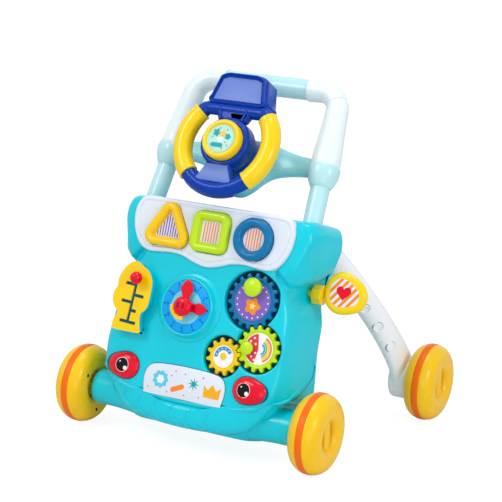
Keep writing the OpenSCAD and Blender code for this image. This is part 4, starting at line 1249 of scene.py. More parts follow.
def crossbar():
    """Slab on the bar's outline whose edges roll over in wide half circles."""
    levels = [(9.5 * (1 - np.cos(a)), 11.8 * np.sin(a)) for a in quarter(17, -80, 80)]
    return placed(plate(smooth_loop(mirrored(CROSSBAR_HALF)), levels, bottom=True), HANDLE)


def sleeve(side):
    """Sleeve round a tube: a cone that swells to a cup under the arm's round foot."""
    profile = [(12.6, 44), (14.2, 45), (15.6, 48), (17.6, 52.5), (19.3, 57.5), (20.3, 62), (20.6, 66),
               (20.5, 69.5), (20.1, 71.4), (19.3, 72), (18.3, 71.4)]
    return placed(revolve(profile, 64), arm_place(side))


# ---------- Steering wheel ----------


def steering_column():
    """Round column between the crossbar and the wheel's hub."""
    profile = [(26, 9), (28, 11.5), (28, 44), (27, 46.6), (6, 46.8), (6, 50)]
    return placed(revolve(profile, 64), HANDLE.at(0, COLUMN_V, 0))


# Radius of the wheel's circle, along the middle of its rim
RING_R = 60.5


def ring_patches(start, stop, radius, roll, big=RING_R, w=0.0, count=90):
    """Round bar carried along an arc of the wheel's circle."""
    p = arc((0, 0), big, start, stop, count)
    return placed(closed_tube(lifted(p, w), radius, roll, (0, 0, 1), 40), STEERING)


def steering_ring():
    """The wheel's rim with its thicker back part, the bar under the box, the hub and its lower spoke."""
    n = np.arange(90)
    out = ring_patches(131, 409, 8.6 + 1.4 * np.clip(np.minimum(n, n[::-1]) / 4, 0, 1), 0.8)
    out += ring_patches(232, 293, 11.0, 1.6, 60.3, -3.2, 30)
    bar = np.array([(-42, 44.6, 0), (-30, 44.6, -0.4), (30, 44.6, -0.4), (42, 44.6, 0)])
    out += placed(closed_tube(bar, 8.5, 0.8, (0, 0, 1), 40), STEERING)
    hub = [(30, -15.4), (32.6, -14.8), (33.5, -13), (33.5, 4.0), (33.3, 5.4), (32.6, 6.9), (31.4, 8.1),
           (29.8, 8.8), (28.2, 9.0), (26.9, 8.6), (26.5, 7.6), (26.5, 0.6), (AXIS, 0.6)]
    out += placed(revolve(hub, 96) + revolve([(AXIS, -15.4), (30, -15.4)], 96), STEERING)
    lower = rounded([(-14, -26), (-26, -56), (26, -56), (14, -26)], 2.0, 5)
    out += placed(slab(lower, 15, 3, 4), STEERING.at(0, 0, -0.6))
    return out


def spoke_panel():
    """Raised lilac panel on the lower spoke, widening downwards."""
    points = np.array([(-23.5, -53), (23.5, -53), (14, -31.5), (-14, -31.5)])
    loop = rounded(inset(points, 1.4), 1.8, 6)
    return placed(plate(loop, [(-0.2, 4), (0, 8.2), (0.3, 9.0), (1.0, 9.3)]), STEERING)


def neck():
    """Upper spoke below the box: a rolled trapezium with two ribs."""
    out = slab(rounded([(18, 31), (25, 46), (-25, 46), (-18, 31)], 2.0, 5), 13, 3, 4)
    for side in (-1, 1):
        rib = rounded([(side * 15, 30), (side * 19.5, 46)], 1.6, 7)
        out += plate(rib, [(0.3, 3), (0, 7.6), (0.4, 8.3), (1.0, 8.5)])
    return placed(out, STEERING)


def steering_grip(side):
    """Soft grip on the rim, with a rolled lip at each end."""
    n = np.arange(50)
    edge = np.minimum(n, n[::-1]) / 3.0
    radii = 12.35 - 0.5 * np.exp(-((edge - 0.9) ** 2) * 4) * (edge > 0.2)
    ends = (-48, 40) if side > 0 else (228, 140)
    return ring_patches(*ends, radii, 0.8, count=50)


# Mirror box: half width, lower edge, height, and the corners' radii above and below
BOX_HALF, BOX_V, BOX_HEIGHT, BOX_TOP_R, BOX_LOW_R = 42, 47.5, 47, 25, 8


def mirror_outline(drawn_in=0.0):
    """Outline of the mirror box: wide round corners above and small ones below."""
    top, low = BOX_TOP_R - drawn_in, max(BOX_LOW_R - drawn_in, 1.2)
    in_low = max(BOX_LOW_R, drawn_in + 1.2)
    x0, y0 = BOX_HALF - in_low, BOX_V + in_low
    x1, y1 = BOX_HALF - BOX_TOP_R, BOX_V + BOX_HEIGHT - BOX_TOP_R
    return rounded([(x0, y0), (x1, y1), (-x1, y1), (-x0, y0)], [low, top, top, low], 14)


def mirror_box():
    """Deep box with a rolled back, an outer rim, a step and an inner frame round the mirror."""
    rows = [(4, -30), (1.6, -29.2), (0.4, -27.5), (0, -25), (0, -1.5), (0.3, -0.4), (1.0, 0.2), (1.8, 0.4),
            (2.1, 0.8), (2.2, 1.6), (2.2, 6.4), (2.5, 7.7), (3.2, 8.6), (4.1, 8.9), (4.8, 8.6), (5.2, 7.8),
            (5.4, 6.6), (5.9, 6.3), (6.6, 6.6), (7.2, 6.9), (7.8, 6.7), (8.1, 5.0)]
    return placed(capped([lifted(mirror_outline(d), w) for d, w in rows]), STEERING)


def mirror_panel():
    """Mirror sheet that swells a little in its middle."""
    loop = mirror_outline(8.1)
    middle = np.array([0, 70.5])
    shares = (1, 0.8, 0.6, 0.4, 0.2, 0.001)
    rings = [lifted(middle + (loop - middle) * s, 5.6 + 0.9 * (1 - s * s)) for s in shares]
    return placed([stack(rings)], STEERING)


def horn_bezel():
    """Horn button: a straight wall, a rolled ring and a shallow seat for its picture disc."""
    profile = [(26, 5.2), (26, 15.8), (25.7, 17.4), (25.0, 18.8), (23.9, 19.7), (22.4, 20.0), (20.9, 19.7),
               (19.8, 18.9), (19.2, 17.9), (19.0, 17.4), (AXIS, 17.4)]
    return placed(revolve(profile, 96) + revolve([(AXIS, 5.2), (26, 5.2)], 96), STEERING)


# Height of the prints on the horn's disc
HORN_PRINT_W = 18.72


def horn_disc():
    """Low dome in the horn button."""
    return placed(revolve(dome_rows(18.7, 17.5, 1.3, 10), 72), STEERING)


# ---------- Legs ----------


# A leg's foot stands this far from the middle, and its tube has this radius
FOOT_X, TUBE_R = 180, 17


def leg_curve(side):
    """Four control points of a leg: its straight start behind the socket and its end at the axle."""
    a = leg_top(side)
    knee = [side * 173, REAR_Y - 27, WHEEL_R + 72]
    return np.array([a, a + 30 * LEG_LINE, knee, [side * FOOT_X, REAR_Y, WHEEL_R]])


def leg_point(curve, t):
    """Point of a cubic Bezier curve at t."""
    a, b, c, d = curve
    return (1 - t) ** 3 * a + 3 * (1 - t) ** 2 * t * b + 3 * (1 - t) * t**2 * c + t**3 * d


def leg_radii(t):
    """Half width and half depth of a leg at t: the tube's radius, then narrower and deeper to the foot."""
    k = np.clip((t - 0.45) / 0.55, 0, 1)
    return TUBE_R + (12.2 - TUBE_R) * k, TUBE_R + (27.5 - TUBE_R) * k**1.3


def leg(side):
    """Oval section on a cubic Bezier curve: the tube's radius above, growing into the foot below."""
    c = leg_curve(side)
    t = np.linspace(0, 0.985, 44)
    start = np.array([c[0] - LEG_LINE * 16, c[0] - LEG_LINE * 8])
    path = np.vstack([start, leg_point(c, t[:, None])])
    radii = np.vstack([np.full((2, 2), TUBE_R + 0.4), np.column_stack(leg_radii(t))])
    foot = np.array([(AXIS, -13), (26, -13), (27.4, -12.4), (28.3, -11), (28.5, -9)])
    foot = np.vstack([foot, foot[::-1] * [1, -1]])
    end = Place(turn_y(90), (side * FOOT_X, REAR_Y, WHEEL_R))
    return tube(path, radii, (0, 1, 0), 56) + placed(revolve(foot, 80), end)


# Screw covers: how far down the leg, and degrees from its outer face towards the front
COVER_SPOTS = ((0.5, 74), (0.62, 66), (0.745, 54))
COVER_ROWS = [(6.8, -1.0), (6.8, 1.5), (6.5, 2.1), (5.9, 2.3), (5.4, 2.1), (5.1, 1.5), (4.9, 1.2),
              (AXIS, 1.2)]
# Fine grey ring round each cover's foot: painted shade
COVER_SHADE_ROWS = [(6.7, -0.9), (7.6, -0.9), (7.6, 0.25), (7.3, 0.5), (6.7, 0.5)]


def on_leg(side, rows):
    """A profile turned about the leg's own normal at each screw cover's place: the covers, short stems with
    rolled rims and dished tops, or the fine grey rings round their feet, which are painted shade."""
    c = leg_curve(side)
    out = []
    for t, turn in COVER_SPOTS:
        d = (1 - t) ** 2 * (c[1] - c[0]) + 2 * (1 - t) * t * (c[2] - c[1]) + t**2 * (c[3] - c[2])
        d /= np.linalg.norm(d)
        across = np.cross([0, 1, 0], d)
        across *= side * np.sign(across[0]) / np.linalg.norm(across)
        fore = np.cross(across, d)
        fore *= -np.sign(fore[1])
        rx, ry = leg_radii(t)
        a = np.radians(turn)
        normal = across * np.cos(a) / rx + fore * np.sin(a) / ry
        normal /= np.linalg.norm(normal)
        spot = leg_point(c, t) + across * rx * np.cos(a) + fore * ry * np.sin(a)
        axes = np.stack([d, np.cross(normal, d), normal], 1)
        out += placed(revolve(rows, 40), Place(axes, spot - 0.9 * normal))
    return out


# ---------- Wheels ----------


def wheel_place(side, track, y):
    """A wheel's frame: Z points out along its axle."""
    return Place(turn_y(side * 90), (side * track / 2, y, WHEEL_R))


def wheel_shell():
    """Fat wheel's closed section: rolled hub lips, bulging sides and a groove for the band."""
    half = [(17.2, 4), (17.2, 12.5), (17.9, 14.6), (19.4, 16.8), (21.6, 18.9), (24.6, 20.4), (28.2, 21),
            (33, 20.9), (38, 20.1), (42, 18.4), (45.4, 15.8), (47.9, 12.6), (49.5, 9.4), (50.3, 6.8),
            (50.5, 5.2), (50.3, 4.6), (49.6, 4.5), (47.4, 4.5)]
    section = np.array(half + [(r, -z) for r, z in half[::-1]] + [half[0]])
    out = revolve(section, 112)
    bar = [(d, w + 3.4) for d, w in pillow(24.8, 2.2, 4)]
    out += plate(box_loop(38, 14.6, 3), bar, bottom=True)
    out += revolve([(AXIS, -14.8), (6.6, -14.8), (7.2, -14), (7.2, 12), (AXIS, 12)], 40)
    return out


# A wheel's screw wells: degrees about its axle, and distance from it
SCREW_TURNS, SCREW_R = (-50, 70, 190), 32.5


def wheel_screws():
    """Rims of the three screw wells on the wheel's inner side."""
    rows = [(AXIS, 0.3), (2.4, 0.3), (2.7, 0.1), (2.9, -0.35), (3.2, -0.55), (3.5, -0.3), (3.6, 0.6)]
    rim = revolve(rows, 24)
    return [patch for a in SCREW_TURNS for patch in placed(rim, Place(turn_z(a)).at(SCREW_R, 0, -20.8))]


def wheel_holes():
    """Dark discs in the screw wells, painted shade for their openings, on the inner side, which faces down
    the wheel's axis.
    """
    spots = polar(SCREW_R, -np.radians(SCREW_TURNS))
    return placed([print_shape(disc(2.2, 24, spot), 20.9, 0.35) for spot in spots], Place(turn_x(180)))


def tread_band():
    """Band with a slightly crowned face and rolled edges."""
    half = np.array([(46.6, -4.4), (50.4, -4.4), (50.95, -4.1), (51.15, -3.4)])
    return revolve(np.vstack([half, [(WHEEL_R, 0)], half[::-1] * [1, -1]]), 128)


# ---------- Paddle ----------


def paddle_hub():
    """Neck and eight-sided hub, each turned or lofted about the paddle's axle."""
    out = revolve([(4, -12), (4, 0.2), (6.6, 0.2), (6.9, 0.6), (6.9, 1.8)], 48)
    ring = polar(12 / np.cos(np.pi / 8), np.radians(22.5 + 45 * np.arange(8)))
    rows = [(0.2, 1.75), (0, 2.4), (0, 13.6), (0.4, 14.2), (1.2, 14.4)]
    out += capped([lifted(rounded(inset(ring, 1.4), 1.4 - min(d, 1.3), 4), w) for d, w in rows])
    return placed(out, PADDLE.at(turn=turn_y(90)))


EGG = np.array([
    [0, 0.02], [0.07, 0.3], [0.3, 0.5], [0.62, 0.45], [0.9, 0.23], [1, -0.04],
    [0.9, -0.34], [0.6, -0.49], [0.3, -0.5], [0.07, -0.31]])


def egg_loop(drawn_in=0.0):
    """The paddle's egg outline, counterclockwise, in the plane across its hub."""
    loop = smooth_loop(EGG * [58, 52], 8)[::-1] + [14.6, 7]
    return inset(loop, drawn_in)


def paddle_blade():
    """Egg slab with wide rolled edges and a low step round its print on both faces."""
    rows = [(5.6 * (1 - np.cos(a)), 5.2 * np.sin(a)) for a in quarter(8, 0, 84)] + [(6.3, 5.1), (7.2, 5.1)]
    rows = [(d, -w) for d, w in rows[::-1]] + rows[1:]
    rings = [lifted(egg_loop(d), w) for d, w in rows]
    ends = [filled(egg_loop(d), (), w) for d, w in (rows[-1], rows[0])]
    return placed([stack(rings), *ends], PADDLE)


def paddle_stripes():
    """Slanted stripes on the paddle's label: bands between parallel lines, cut by the label's outline."""
    slant, pitch, half = 38, 7.4, 1.9
    out = []
    flat = turned_loop(egg_loop(9.2), slant)
    for k in range(-3, 4):
        x = flat[:, 0].mean() + pitch * k
        low, high = max(x - half, flat[:, 0].min() + 0.2), min(x + half, flat[:, 0].max() - 0.2)
        if high - low > 0.8:
            out.append(print_shape(turned_loop(clipped(flat, low, high), -slant), 5.32, 0.06))
    return out


def both_faces(patches):
    """The patches on the paddle's front, and their copy turned round its long line onto the back."""
    back = [(v * [1, 1, -1], f) for v, f in patches]
    return placed(patches + back, PADDLE)


# ---------- Pieces in a plastic, and prints ----------


def moulded(name, patches, key, body, nodes=(), sharp=32):
    """One piece in a plastic, with the plastic's slot."""
    return piece(name, patches, finish(key), body, nodes, sharp)


def printed(name, patches, colour, body, kind=None):
    """One piece in a printed ink, named after the piece or after the kind of mark."""
    return piece(name, patches, ink(kind or name, colour), body)


def marks(name, loops, place, w, colour, body, thick=0.1):
    """Several flat printed shapes in one ink as one piece."""
    patches = [print_shape(np.asarray(loop, float), w, thick) for loop in loops]
    return printed(name, placed(patches, place), colour, body)


def mark_group(prefix, place, body, rows):
    """Pieces of printed shapes on one surface: each row gives the last word of the name, the height, the
    colour and the shapes."""
    for word, w, colour, loops in rows:
        marks(f"{prefix}_{word}", loops, place, w, colour, body)


def dots(radius, count, spots):
    """Small circles at several places."""
    return [disc(radius, count, tuple(spot)) for spot in spots]


def band_arc(radius, width, start, stop, centre=(0, 0), count=24):
    """Closed outline of a curved stroke of even width."""
    outer = arc(centre, radius + width / 2, start, stop, count)
    inner_side = arc(centre, radius - width / 2, stop, start, count)
    return np.vstack([outer, inner_side])


# ---------- Settings and operators ----------


class WALKER_PG_colours(bpy.types.PropertyGroup):
    """Colours of the walker's plastics."""

    __annotations__ = {key: colour_property(key) for key in FINISHES}


class WALKER_PG_sizes(bpy.types.PropertyGroup):
    """Small sizes of the stage."""

    floor_drop: bpy.props.FloatProperty(
        name="Floor drop", description="Gap between the wheels and the floor", default=0.0005, min=0,
        unit="LENGTH")
    lens: bpy.props.FloatProperty(
        name="Lens", description="Focal length of the camera", default=121.92, min=10,
        subtype="DISTANCE_CAMERA")


class WalkerOperator:
    """What every operator of the walker shares."""

    bl_options = {"REGISTER", "UNDO"}


class WALKER_OT_body(WalkerOperator, bpy.types.Operator):
    """Builds the teal body: both shells, the base, its bumper and bead, dark lines under the bead as painted
    shadow, and the battery door
    """

    bl_idname = "walker.body"
    bl_label = "Body shells and base"

    def execute(self, context):
        moulded("front_skin", front_skin(), "teal_shell", "body", ["front_shell"], 40)
        moulded("rear_skin", rear_skin(), "teal_shell", "body", ["rear_shell"], 40)
        moulded("base_skin", axle_sleeve() + under_tray(), "teal_shell", "body", ["base_housing"], 45)
        moulded("bumper_skin", bumper(), "teal_shell", "body", sharp=45)
        moulded("bumper_ribs", bumper_grooves(), "teal_shell", "body")
        moulded("face_bead", face_bead(), "teal_shell", "body")
        # Dark teal lines under the bead: painted shadow
        moulded("side_lines", side_lines(), "deep_teal", "body")
        moulded("door_skin", battery_door(), "teal_shell", "body", ["battery_door"])
        piece("door_screws", door_screws(), metal("screw_steel", (176, 180, 186), 0.35), "body")
        return {"FINISHED"}


class WALKER_OT_buttons(WalkerOperator, bpy.types.Operator):
    """Builds the white panel and the three push buttons with their striped windows"""

    bl_idname = "walker.buttons"
    bl_label = "Panel and push buttons"

    def execute(self, context):
        moulded("panel_skin", button_panel(), "white_panel", "body", ["button_panel"])
        # Shape, plastic, then the stripes' colour, width, pitch and count
        looks = (("triangle", "amber", (128, 92, 190), 1.6, 3.6, 9),
                 ("square", "lime", (255, 140, 40), 1.8, 3.8, 8),
                 ("circle", "blue", (255, 140, 40), 1.8, 3.8, 8))
        for kind, (shape, plastic_key, colour, *stripes) in enumerate(looks):
            body = shape + "_button"
            moulded(shape + "_cap", button_cap(kind), plastic_key, body, [body], 40)
            moulded(shape + "_window", button_window(kind), "white_panel", body)
            printed(shape + "_stripes", window_stripes(kind, *stripes), colour, body)
        return {"FINISHED"}


class WALKER_OT_shifter(WalkerOperator, bpy.types.Operator):
    """Builds the gear shifter: boss, slotted plate, knob, and dark sheets painted as shade in the slot and
    round the boss and plate
    """

    bl_idname = "walker.shifter"
    bl_label = "Shifter"

    def execute(self, context):
        moulded("shifter_boss_skin", shifter_boss(), "teal_shell", "body", ["shifter_boss"])
        # Dark band and shim round the boss and plate: painted shade
        moulded("shifter_rim", shifter_rim(), "deep_teal", "body")
        moulded("shifter_plate_skin", shifter_plate(), "yellow", "body", ["shifter_plate"])
        # Dark sheet in the slot: painted shade
        moulded("shifter_gate", shifter_gate(), "deep_teal", "body")
        moulded("shift_ball", shift_knob(), "red", "shift_knob", ["shift_knob"], 50)
        return {"FINISHED"}


class WALKER_OT_clock(WalkerOperator, bpy.types.Operator):
    """Builds the clock: boss, dial with dots and figures, two hands, the cap and its ribbed tab"""

    bl_idname = "walker.clock"
    bl_label = "Clock"

    def execute(self, context):
        moulded("clock_boss_skin", clock_boss(), "teal_shell", "body", ["clock_boss"])
        moulded("dial_skin", clock_dial(), "dial_blue", "body", ["clock_dial"])
        hours = polar(30.8, np.radians(90 - 30 * np.arange(12)))
        mark_group("dial", CLOCK, "body", (
            ("middle", DIAL_MIDDLE_W + 0.06, (128, 224, 255), [disc(21.8, 72)]),
            ("dots", DIAL_W + 0.01, (20, 50, 120), dots(1.05, 20, hours))))
        piece("dial_figures", digits(), ink("dial_figures", (16, 60, 130)), "body", weld=False)
        moulded("hour_leaf", hand_patches(31, 15, 0, 11), "red", "hour_hand", ["hour_hand"])
        moulded("minute_leaf", hand_patches(34, 17, 90, 13.9), "red", "minute_hand", ["minute_hand"])
        moulded("nose_dome", nose_cap(), "red", "minute_hand", ["nose_cap"])
        printed("nose_slots", nose_marks(), (150, 10, 36), "minute_hand")
        moulded("tab_ribbed", hand_tab(), "yellow", "minute_hand", ["hand_tab"])
        return {"FINISHED"}


class WALKER_OT_gears(WalkerOperator, bpy.types.Operator):
    """Builds the three meshing gears in their wells, with their knobs and plain printed shapes"""

    bl_idname = "walker.gears"
    bl_label = "Gears"

    def execute(self, context):
        # The wells are dark teal: painted shade in the recess
        moulded("well_skin", gear_well(), "deep_teal", "body", ["gear_tray"], 40)
        for key, plastic_key in (("blue", "blue"), ("lime", "lime"), ("orange", "amber")):
            body = key + "_gear"
            moulded(body + "_skin", gear_body(key), plastic_key, body, [body], 30)
        for key, at, *sizes in (("blue", BLUE_AT, 0.5, 16.5, 12, 13), ("lime", LIME_AT, -14, -1.5, 8.5, 8)):
            moulded(key + "_knob_skin", knob(at, *sizes), "lime", key + "_gear", [key + "_gear_knob"], 50)
        low, mid, top = 6.12, 6.26, 6.42
        mark_group("blue_gear", FACE.at(*BLUE_AT, GEAR_W), "blue_gear", (
            ("disc", low, (134, 104, 196), [disc(24.6, 72)]),
            ("spots", mid, (240, 236, 250), dots(1.1, 18, arc((0, 0), 21.4, 0, 340, 18))),
            ("blob", mid, (255, 150, 40), [scallop(9.6, 5, 1.6) + [1, -6.5]]),
            ("star", top, (255, 236, 120), [star(5, 5.2, 2.4) + [1, -6.5]])))
        wedge = np.vstack([arc((0, 0), 18.6, 100, 260, 30), [(0, 0)]])
        spots = ((-12, 8), (-7.5, 12.5), (-5, 5.5), (-8, -10.5), (-3.6, -14), (-3.5, -5.5), (-14.4, -8.5))
        colours = ((255, 120, 60), (255, 210, 50), (120, 200, 80), (60, 160, 220))
        rainbow = [(f"arc{k}", mid, colour, [band_arc(15.6 - 3 * k, 2.4, -66, 66, (1.6, 0))])
                   for k, colour in enumerate(colours)]
        mark_group("lime_gear", FACE.at(*LIME_AT, GEAR_W), "lime_gear", (
            ("disc", low, (248, 250, 252), [disc(19.6, 64)]),
            ("wedge", mid, (236, 62, 78), [wedge]),
            ("dots", top, (250, 250, 250), dots(1.4, 18, spots)),
            *rainbow))
        mark_group("orange_gear", FACE.at(*ORANGE_AT, GEAR_W), "orange_gear", (
            ("disc", low, (250, 250, 250), [disc(13.8, 56)]),
            ("arc", mid, (40, 150, 210), [band_arc(10.2, 4.6, 30, 190)]),
            ("sun", mid, (255, 206, 50), [star(8, 5.6, 4.2)]),
            ("dots", top, (250, 250, 250), dots(0.8, 14, arc((0, 0), 10.2, 50, 170, 5)))))
        return {"FINISHED"}


class WALKER_OT_eyes(WalkerOperator, bpy.types.Operator):
    """Builds the two pebble eyes with their pupils, and the label with plain shapes"""

    bl_idname = "walker.eyes"
    bl_label = "Eyes and label"

    def execute(self, context):
        for (side, word), u in zip(SIDES, PUPIL_U):
            moulded(word + "_pebble", eye(side), "red", "body", [word + "_eye"], 50)
            ring = pupil_patches(side, u, 9.4, 0.12)
            printed(word + "_pupil_ring", ring, (250, 214, 226), "body", "pupil_ring")
            dark = pupil_patches(side, u, 8.6, 0.3)
            moulded(word + "_pupil_disc", dark, "black", "body", [word + "_pupil"])
            # White dots on each pupil, at its lower right and upper left: painted highlights
            glints = pupil_patches(side, u, 2.7, 0.45, 5.2, -3.6)
            glints += pupil_patches(side, u, 1.0, 0.45, -3.4, 3.8)
            printed(word + "_pupil_dot", glints, (246, 248, 250), "body", "pupil_dot")
        # Dark outlines round the label and the eyes: painted shade in the gaps round them
        shade_outlines = seat(smooth_loop(mirrored(LABEL_HALF)), 0.9)
        for side, _ in SIDES:
            loop = smooth_loop(EYE_OUTLINE, 8) * [side, 1] + [side * EYE_U, 0]
            shade_outlines += seat(loop[::side], 1.0)
        moulded("seat_lines", placed(shade_outlines, FACE), "deep_teal", "body")
        moulded("label_skin", label_plate(), "white_panel", "body", ["label_plate"])
        w = LABEL_W + 0.02
        capsule = turned_loop(box_loop(20, 6.4, 3.2), 24) + [-8, -15]
        zigzag = [(30, -19), (52, -19), (53.5, -4), (47, -9.5), (41, -1.5), (35, -9.5), (28.5, -4)]
        spots = ((-50, -20), (-19, -1), (-14, 5.5), (0, 4), (3, -22), (26, 4), (24, -21), (-22, -22))
        mark_group("label", FACE, "body", (
            ("cloud", w, (96, 206, 232), [scallop(10.5, 9, 0.9) + [-34, -8]]),
            ("cloud_middle", w + 0.12, (238, 246, 250), [scallop(5.2, 6, 0.7) + [-34, -8]]),
            ("capsule", w, (255, 140, 40), [capsule]),
            ("star", w, (0, 168, 178), [star(8, 8.4, 2.8) + [14, -6]]),
            ("zigzag", w, (255, 176, 20), [zigzag]),
            ("dots", w, (236, 70, 110), dots(1.0, 16, spots))))
        return {"FINISHED"}


class WALKER_OT_handle(WalkerOperator, bpy.types.Operator):
    """Builds the handle: tubes, sleeves, crossbar, arms, elbows and the grip bar"""

    bl_idname = "walker.handle"
    bl_label = "Handle"

    def execute(self, context):
        for side, word in SIDES:
            moulded(word + "_tube_skin", lower_tube(side), "pale_mint", "body", [word + "_tube"])
            moulded(word + "_arm_skin", arm(side), "pearl_white", "body", [word + "_arm"], 50)
            moulded(word + "_elbow_skin", elbow(side), "pearl_white", "body", [word + "_elbow"], 50)
            moulded(word + "_sleeve", sleeve(side), "pale_mint", "body", sharp=50)
        moulded("grip_skin", grip_bar(), "pale_mint", "body", ["grip_bar"], 50)
        # The crossbar's mint is darker than the tubes': painted shade
        moulded("crossbar_skin", crossbar(), "handle_mint", "body", ["handle_crossbar"], 50)
        return {"FINISHED"}


class WALKER_OT_steering(WalkerOperator, bpy.types.Operator):
    """Builds the steering wheel: rim, grips, hub, spokes, mirror box and the horn button"""

    bl_idname = "walker.steering"
    bl_label = "Steering wheel"

    def execute(self, context):
        wheel = "steering_wheel"
        moulded("column_skin", steering_column(), "navy", "body", ["steering_column"])
        moulded("rim_skin", steering_ring(), "navy", wheel, ["steering_ring"], 40)
        moulded("spoke_panel", spoke_panel(), "lilac", wheel)
        moulded("neck_skin", neck(), "navy", wheel)
        moulded("box_skin", mirror_box(), "navy", wheel, ["mirror_box"], 40)
        moulded("mirror_sheet", mirror_panel(), "lilac", wheel, ["mirror_panel"])
        for side, word in SIDES:
            moulded(word + "_grip_skin", steering_grip(side), "yellow", wheel, [word + "_steering_grip"], 50)
        moulded("horn_bezel", horn_bezel(), "yellow", "horn", ["horn_button"], 50)
        printed("horn_disc", horn_disc(), (176, 232, 222), "horn")
        blobs = [scallop(4.6, 5, 0.8) + [-7, 7], scallop(3.6, 5, 0.6) + [9.5, 3],
                 box_loop(17, 5.4, 2.7) + [-3, -9]]
        spots = ((-11.5, 1), (8, -4.5), (11, -8), (5, -12.5), (6.5, 12), (-3.5, 13.5))
        for word, thick, colour, loops in (
                ("blobs", 0.2, (0, 164, 168), blobs),
                ("star", 0.3, (255, 196, 60), [star(5, 6.4, 2.9) + [2, 6]]),
                ("cloud", 0.3, (250, 252, 252), [scallop(3.6, 6, 0.6) + [0, -1.6]]),
                ("dots", 0.2, (240, 70, 80), dots(0.9, 16, spots))):
            marks("horn_" + word, loops, STEERING, HORN_PRINT_W, colour, "horn", thick)
        return {"FINISHED"}


class WALKER_OT_legs(WalkerOperator, bpy.types.Operator):
    """Builds the rear legs with their screw covers"""

    bl_idname = "walker.legs"
    bl_label = "Legs"

    def execute(self, context):
        for side, word in SIDES:
            # The legs' white is brighter than the arms' pearl white: painted light
            moulded(word + "_leg_skin", leg(side), "leg_white", "body", [word + "_leg"], 50)
            moulded(word + "_leg_covers", on_leg(side, COVER_ROWS), "leg_white", "body")
            # Grey rings round the covers: painted shade
            moulded(word + "_cover_rings", on_leg(side, COVER_SHADE_ROWS), "shade_grey", "body")
        return {"FINISHED"}


class WALKER_OT_wheels(WalkerOperator, bpy.types.Operator):
    """Builds the four fat wheels with their bands, and finishes the steel axles"""

    bl_idname = "walker.wheels"
    bl_label = "Wheels and axles"

    def execute(self, context):
        for end, track, y in (("front", FRONT_TRACK, FRONT_Y), ("rear", REAR_TRACK, REAR_Y)):
            for side, word in SIDES:
                name, place = f"{end}_{word}", wheel_place(side, track, y)
                body = name + "_wheel"
                moulded(name + "_shell", placed(wheel_shell(), place), "wheel_yellow", body, [body], 50)
                moulded(name + "_wells", placed(wheel_screws(), place), "wheel_yellow", body)
                # Black discs in the screw wells: painted shade
                moulded(name + "_holes", placed(wheel_holes(), place), "black", body)
                band = placed(tread_band(), place)
                moulded(name + "_band", band, "tread_orange", body, [name + "_tread"], 50)
        steel = metal("axle_steel", (186, 190, 196), 0.3)
        for node in ("front_axle", "left_rear_axle", "right_rear_axle"):
            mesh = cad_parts[node].data
            mesh.materials.clear()
            mesh.materials.append(steel)
        return {"FINISHED"}


class WALKER_OT_paddle(WalkerOperator, bpy.types.Operator):
    """Builds the side paddle: hub, egg blade and its striped label with a heart"""

    bl_idname = "walker.paddle"
    bl_label = "Side paddle"

    def execute(self, context):
        moulded("nub_skin", paddle_hub(), "yellow", "paddle", ["paddle_hub"], 30)
        moulded("blade_skin", paddle_blade(), "yellow", "paddle", ["side_paddle"], 40)
        label = print_shape(egg_loop(9), 5.2, 0.1)
        badge = print_shape(heart(20) + [42, 7.6], 5.46, 0.08)
        moulded("paddle_label", both_faces([label]), "white_panel", "paddle")
        printed("paddle_stripes", both_faces(paddle_stripes()), (250, 140, 10), "paddle")
        printed("paddle_heart", both_faces([badge]), (240, 0, 40), "paddle")
        return {"FINISHED"}


class WALKER_OT_stage(WalkerOperator, bpy.types.Operator):
    """Sets up the floor, the soft lamps, the pale surroundings and the camera"""

    bl_idname = "walker.stage"
    bl_label = "Stage"

    def execute(self, context):
        scene = context.scene
        scene.view_settings.view_transform = "Standard"
        scene.world = stage_world()
        stage_floor(-scene.walker_sizes.floor_drop)
        for lamp in LAMPS:
            stage_lamp(*lamp)
        stage_camera(scene.walker_sizes.lens)
        return {"FINISHED"}


# Lamp: place, size in metres, power in watts, colour
LAMPS = (
    ("key", (-0.9, -1.5, 1.75), 0.7, 15, (1, 0.99, 0.97)),
    ("fill", (1.3, -1.5, 0.25), 0.9, 5, (1, 0.99, 0.97)),
    ("top", (0.15, 0.1, 2.1), 0.8, 11, (1, 1, 1)),
    ("side", (1.9, -0.6, 0.95), 0.6, 9.5, (0.97, 0.98, 1)),
)
# Strength of the surroundings' light, and of the floor's own light as the camera sees it
AMBIENT, FLOOR_GLOW = 0.5, 0.87
FLOOR_HALF = 9
# Camera: place, view direction, up direction, and the picture's shift in sensor widths
CAMERA_AT = (1.0202, -1.8722, 0.8353)
CAMERA_FORWARD, CAMERA_UP = (-0.458, 0.8462, -0.2723), (-0.1496, 0.2285, 0.962)
CAMERA_SHIFT = -0.0053


def shader_node(tree, kind, colour=None, strength=None):
    """A shader node of a kind, with its colour and strength set where given."""
    node = tree.nodes.new("ShaderNode" + kind)
    if colour:
        node.inputs["Color"].default_value = (*colour, 1)
    if strength:
        node.inputs["Strength"].default_value = strength
    return node


def mixed(tree, factor, first, second, output):
    """Mixes two shaders by a factor into an output node."""
    mix = shader_node(tree, "MixShader")
    for socket, target in zip((factor, first.outputs[0], second.outputs[0]), mix.inputs):
        tree.links.new(socket, target)
    tree.links.new(mix.outputs[0], shader_node(tree, output).inputs[0])


def stage_world():
    """White surroundings where the camera sees them, straight on, mirrored or through something clear, and a
    dimmer pale light on everything else."""
    world = bpy.data.worlds.new("surroundings")
    world.use_nodes = True
    tree = world.node_tree
    tree.nodes.clear()
    path = shader_node(tree, "LightPath").outputs
    seen = path["Is Camera Ray"]
    for other in ("Is Transmission Ray", "Is Glossy Ray"):
        either = shader_node(tree, "Math")
        either.operation = "MAXIMUM"
        tree.links.new(seen, either.inputs[0])
        tree.links.new(path[other], either.inputs[1])
        seen = either.outputs[0]
    white = shader_node(tree, "Background", (1, 1, 1))
    soft = shader_node(tree, "Background", (0.93, 0.96, 1), AMBIENT)
    mixed(tree, seen, soft, white, "OutputWorld")
    return world


